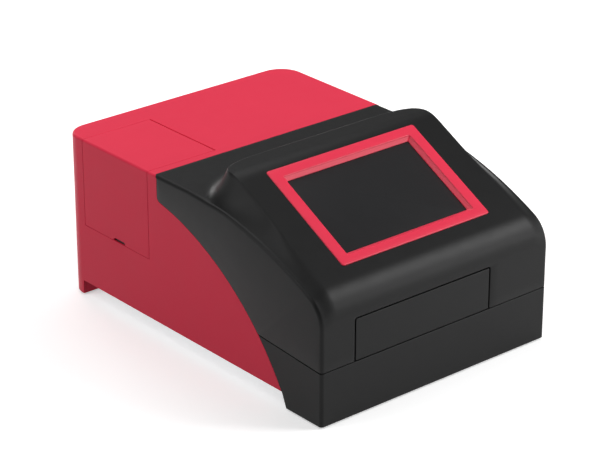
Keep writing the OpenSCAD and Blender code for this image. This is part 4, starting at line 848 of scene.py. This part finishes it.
def look(name, colour, rough, metallic=0.0, specular=0.5, vary=0.08, patch=30.0, grain=0.5, bump=0.1,
         stretch=(1, 1, 1), alpha=1.0):
    """Surface with uneven colour and roughness in patches, and a fine grain. Sizes are millimetres."""
    made = looks[name] = bpy.data.materials.new(name)
    made.use_nodes = True
    nodes, links = made.node_tree.nodes, made.node_tree.links
    shader = nodes["Principled BSDF"]
    shader.inputs["Metallic"].default_value = metallic
    shader.inputs["Specular IOR Level"].default_value = specular
    shader.inputs["Alpha"].default_value = alpha
    mapping = nodes.new("ShaderNodeMapping")
    mapping.inputs["Scale"].default_value = stretch
    links.new(nodes.new("ShaderNodeTexCoord").outputs["Object"], mapping.inputs["Vector"])

    def noise(size, detail):
        texture = nodes.new("ShaderNodeTexNoise")
        texture.inputs["Scale"].default_value = 1 / (size * MM)
        texture.inputs["Detail"].default_value = detail
        links.new(mapping.outputs["Vector"], texture.inputs["Vector"])
        return texture.outputs["Fac"]

    tone = nodes.new("ShaderNodeMix")
    tone.data_type = "RGBA"
    for socket, change in zip(MIX_COLOURS, (-vary, vary)):
        tone.inputs[socket].default_value = (*[min(1, c * (1 + change)) for c in colour], 1)
    links.new(noise(patch, 3), tone.inputs[MIX_FACTOR])
    links.new(tone.outputs[MIXED_COLOUR], shader.inputs["Base Color"])
    smoothest, roughest = max(0.02, rough * (1 - ROUGH_SPREAD)), min(1, rough * (1 + ROUGH_SPREAD))
    links.new(ranged(made.node_tree, noise(patch / 4, 5), smoothest, roughest), shader.inputs["Roughness"])
    relief = nodes.new("ShaderNodeBump")
    relief.inputs["Strength"].default_value = bump
    relief.inputs["Distance"].default_value = GRAIN_DEPTH * MM
    links.new(noise(grain, 2), relief.inputs["Height"])
    links.new(relief.outputs["Normal"], shader.inputs["Normal"])
    return made


def board_look(name):
    """Green board: solder mask over fine copper tracks."""
    made = look(name, (0.012, 0.11, 0.05), 0.35, vary=0.1, grain=0.3, bump=0.05)
    nodes, links = made.node_tree.nodes, made.node_tree.links
    tracks = nodes.new("ShaderNodeTexBrick")
    tracks.inputs["Scale"].default_value = 60
    tracks.inputs["Mortar Size"].default_value = 0.03
    tracks.inputs["Color1"].default_value = (0.01, 0.1, 0.045, 1)
    tracks.inputs["Color2"].default_value = (0.012, 0.13, 0.055, 1)
    tracks.inputs["Mortar"].default_value = (0.03, 0.2, 0.09, 1)
    links.new(nodes["Texture Coordinate"].outputs["Object"], tracks.inputs["Vector"])
    links.new(tracks.outputs["Color"], nodes["Principled BSDF"].inputs["Base Color"])


def filter_look(name):
    """Coated glass: each filter round the wheel has its own hue."""
    made = look(name, (0.3, 0.2, 0.6), 0.08, specular=0.8, alpha=0.85)
    nodes, links = made.node_tree.nodes, made.node_tree.links
    hues = [(0.35, 0.05, 0.5), (0.08, 0.08, 0.6), (0.03, 0.3, 0.6), (0.03, 0.45, 0.3),
            (0.3, 0.5, 0.05), (0.6, 0.4, 0.03), (0.6, 0.15, 0.03), (0.5, 0.03, 0.05)]
    centre = (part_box("filter_wheel")[0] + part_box("filter_wheel")[1]) / 2
    mapping = nodes.new("ShaderNodeMapping")
    mapping.vector_type = "TEXTURE"
    mapping.inputs["Location"].default_value = centre
    mapping.inputs["Rotation"].default_value = (math.pi / 2, math.pi / len(hues), 0)
    turn = nodes.new("ShaderNodeTexGradient")
    turn.gradient_type = "RADIAL"
    ramp = nodes.new("ShaderNodeValToRGB")
    ramp.color_ramp.interpolation = "CONSTANT"
    steps = ramp.color_ramp.elements
    for k, hue in enumerate(hues):
        step = steps[k] if k < len(steps) else steps.new(k / len(hues))
        step.position = k / len(hues)
        step.color = (*hue, 1)
    links.new(nodes["Texture Coordinate"].outputs["Object"], mapping.inputs["Vector"])
    links.new(mapping.outputs["Vector"], turn.inputs["Vector"])
    links.new(turn.outputs["Fac"], ramp.inputs["Fac"])
    links.new(ramp.outputs["Color"], nodes["Principled BSDF"].inputs["Base Color"])


for case_black in ("cover_black", "drawer_black"):
    look(case_black, BLACK, 0.42, specular=0.17, patch=45, grain=0.35, bump=0.12)
look("housing_red", RED, 0.4, specular=0.15, vary=0.03, patch=80, grain=0.6, bump=0.06)
look("bezel_red", RED, 0.36, specular=0.3, vary=0.03, patch=60, grain=0.4, bump=0.05)
look("screen_glass", (0.022, 0.022, 0.023), 0.3, specular=0.1, vary=0.05, patch=50, grain=3, bump=0.01)
look("rubber_black", DARK, 0.8, patch=6, grain=0.3, bump=0.3)
look("sheet_steel", (0.56, 0.57, 0.59), 0.36, 1, vary=0.06, patch=15, grain=0.4, bump=0.1, stretch=(1, 8, 8))
look("bright_steel", (0.72, 0.72, 0.74), 0.16, 1, patch=12, grain=0.3, bump=0.03)
look("screw_steel", (0.45, 0.45, 0.47), 0.32, 1, patch=3, grain=0.2, bump=0.1)
look("tray_grey", (0.045, 0.046, 0.05), 0.5, 0.6, patch=30, grain=0.25, bump=0.12)
look("bearing_bronze", (0.58, 0.36, 0.14), 0.38, 1, patch=5, grain=0.2, bump=0.2)
look("machined_aluminium", (0.68, 0.69, 0.71), 0.3, 1, patch=14, grain=0.35, bump=0.08, stretch=(1, 10, 10))
look("bridge_black", (0.02, 0.02, 0.023), 0.42, 0.7, patch=20, grain=0.25, bump=0.12)
look("motor_black", (0.022, 0.022, 0.024), 0.45, patch=20, grain=0.4, bump=0.15)
look("belt_black", (0.018, 0.018, 0.018), 0.75, patch=10, grain=1.0, bump=0.3, stretch=(1, 1, 4))
look("clear_glass", (0.9, 0.95, 0.97), 0.06, specular=0.8, vary=0.02, alpha=0.45, bump=0.0)
filter_look("filter_glass")
board_look("board_green")
look("guide_black", DARK, 0.6, patch=12, grain=0.8, bump=0.2)
look("lamp_glass", (0.9, 0.86, 0.75), 0.15, specular=0.7, alpha=0.8, bump=0.0)
look("fan_black", (0.02, 0.02, 0.021), 0.5, patch=15, grain=0.3, bump=0.12)
look("socket_black", (0.016, 0.016, 0.016), 0.45, patch=10, grain=0.3, bump=0.1)
look("rocker_red", (0.5, 0.015, 0.015), 0.3, vary=0.04, patch=10, grain=0.5, bump=0.03)
look("inner_black", DARK, 0.55, patch=25, grain=0.3, bump=0.12)
look("magnet_grey", (0.35, 0.35, 0.36), 0.25, 1, patch=5, grain=0.3, bump=0.05)

# Every solid of the frame takes its slot's finish. The pieces below then stand in for seven of them.
node_slots = {part["node"]: part["material_slot"] for part in frame["record"]["subparts"]}
node_body = {node: body for body, nodes in frame["record"]["behaviour"]["bodies"].items() for node in nodes}
for node, obj in frame["nodes"].items():
    for material_slot in obj.material_slots:
        material_slot.material = looks[node_slots[node]]


def place(piece, node):
    """Give a piece the finish, the body and the place of the CAD node that it stands for."""
    piece.data.materials.clear()
    piece.data.materials.append(looks[node_slots[node]])
    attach(piece, node_body[node])
    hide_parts(node)


place(make_front_cover(), "front_cover")
place(make_base(), "base_shell")
place(make_housing(), "rear_housing")
place(make_door(), "access_door")
place(make_drawer_front(), "drawer_front")
place(make_bezel(), "display_bezel")
place(make_glass(), "touch_glass")


# Camera and light. Lengths are metres from here on.

def aimed(name, data, azimuth, elevation, distance, target_z):
    """Camera or lamp that looks at a point over the middle of the floor."""
    a, e = math.radians(azimuth), math.radians(elevation)
    towards = Vector((math.sin(a) * math.cos(e), -math.cos(a) * math.cos(e), math.sin(e)))
    obj = bpy.data.objects.new(name, data)
    obj.location = Vector((0, 0, target_z)) + towards * distance
    obj.rotation_euler = towards.to_track_quat("Z", "Y").to_euler()
    bpy.context.scene.collection.objects.link(obj)
    return obj


# The camera's place and lens were found by fitting the case's corners to the photograph
camera = aimed("camera", bpy.data.cameras.new("camera"), -40.18, 24.40, 2.52889, 0.092)
camera.data.sensor_width = 36
camera.data.lens = 146.94
camera.data.shift_x = -0.0021
camera.data.shift_y = 0.0011
bpy.context.scene.camera = camera
bpy.context.scene.view_settings.view_transform = "Standard"


def lamp(name, azimuth, elevation, distance, size, power):
    """Soft rectangular lamp that looks at the object."""
    data = bpy.data.lights.new(name, "AREA")
    data.shape = "RECTANGLE"
    data.size, data.size_y = size
    data.energy = power
    aimed(name, data, azimuth, elevation, distance, 0.1)


# Soft lamps all round the object
lamp("back_lamp", 150, 60, 2.4, (1.4, 1.4), 18)
lamp("key_lamp", 50, 37, 2.6, (1.1, 1.3), 43)
lamp("low_lamp", 40, 12, 2.6, (1.0, 0.6), 13)
lamp("left_lamp", -112, 25, 2.6, (1.2, 1.2), 14)
lamp("high_lamp", -95, 60, 2.4, (1.2, 1.2), 13)
lamp("behind_lamp", 168, 12, 2.6, (0.8, 0.5), 6)


def shown_rays(tree):
    """1 for the rays that show the backdrop: seen by the camera, in a reflection or through glass."""
    path = tree.nodes.new("ShaderNodeLightPath")
    value = path.outputs["Is Camera Ray"]
    for name in ("Is Glossy Ray", "Is Transmission Ray"):
        either = tree.nodes.new("ShaderNodeMath")
        either.operation = "MAXIMUM"
        tree.links.new(value, either.inputs[0])
        tree.links.new(path.outputs[name], either.inputs[1])
        value = either.outputs[0]
    return value


# Strength of the room's light, and how high above the horizon it stops being white
ROOM_DIM = 0.12
SKY_LINE = 0.2


def make_room():
    """Pale room: the shown rays find it white at the horizon, and dimmer above."""
    world = bpy.data.worlds.new("room")
    bpy.context.scene.world = world
    world.use_nodes = True
    nodes, links = world.node_tree.nodes, world.node_tree.links
    height = nodes.new("ShaderNodeSeparateXYZ")
    links.new(nodes.new("ShaderNodeTexCoord").outputs["Generated"], height.inputs["Vector"])
    strength = nodes.new("ShaderNodeMix")
    strength.inputs[MIX_NUMBERS[0]].default_value = ROOM_DIM
    links.new(shown_rays(world.node_tree), strength.inputs[MIX_FACTOR])
    links.new(ranged(world.node_tree, height.outputs["Z"], 1.0, ROOM_DIM, end=SKY_LINE),
              strength.inputs[MIX_NUMBERS[1]])
    nodes["Background"].inputs["Color"].default_value = (1, 1, 1, 1)
    links.new(strength.outputs[0], nodes["Background"].inputs["Strength"])


# The floor's reach, its tone for the light it throws back and for the shown rays, and its glow for the shown rays,
# which rises from near the object to far out
FLOOR_R = 12.0
FLOOR_TONES = (0.3, 0.85)
GLOW = (0.45, 1.0)
GLOW_R = (0.8, 2.4)


def make_floor():
    """Plain floor: white for the shown rays, with the object's shadow, and greyer in what it lights."""
    sides = 64
    mesh = bpy.data.meshes.new("floor")
    turns = [math.tau * k / sides for k in range(sides)]
    mesh.from_pydata([(FLOOR_R * math.cos(a), FLOOR_R * math.sin(a), 0) for a in turns], [], [tuple(range(sides))])
    floor = bpy.data.objects.new("floor", mesh)
    bpy.context.scene.collection.objects.link(floor)
    made = bpy.data.materials.new("floor")
    made.use_nodes = True
    tree = made.node_tree
    nodes, links = tree.nodes, tree.links
    shader = nodes["Principled BSDF"]
    shader.inputs["Roughness"].default_value = 0.9
    shader.inputs["Specular IOR Level"].default_value = 0.1
    shown = shown_rays(tree)
    links.new(ranged(tree, shown, *FLOOR_TONES), shader.inputs["Base Color"])
    away = nodes.new("ShaderNodeVectorMath")
    away.operation = "LENGTH"
    links.new(nodes.new("ShaderNodeNewGeometry").outputs["Position"], away.inputs[0])
    glow = nodes.new("ShaderNodeEmission")
    links.new(shown, glow.inputs["Strength"])
    links.new(ranged(tree, away.outputs["Value"], *GLOW, *GLOW_R), glow.inputs["Color"])
    both = nodes.new("ShaderNodeAddShader")
    links.new(shader.outputs[0], both.inputs[0])
    links.new(glow.outputs[0], both.inputs[1])
    links.new(both.outputs[0], nodes["Material Output"].inputs["Surface"])
    mesh.materials.append(made)


make_room()
make_floor()
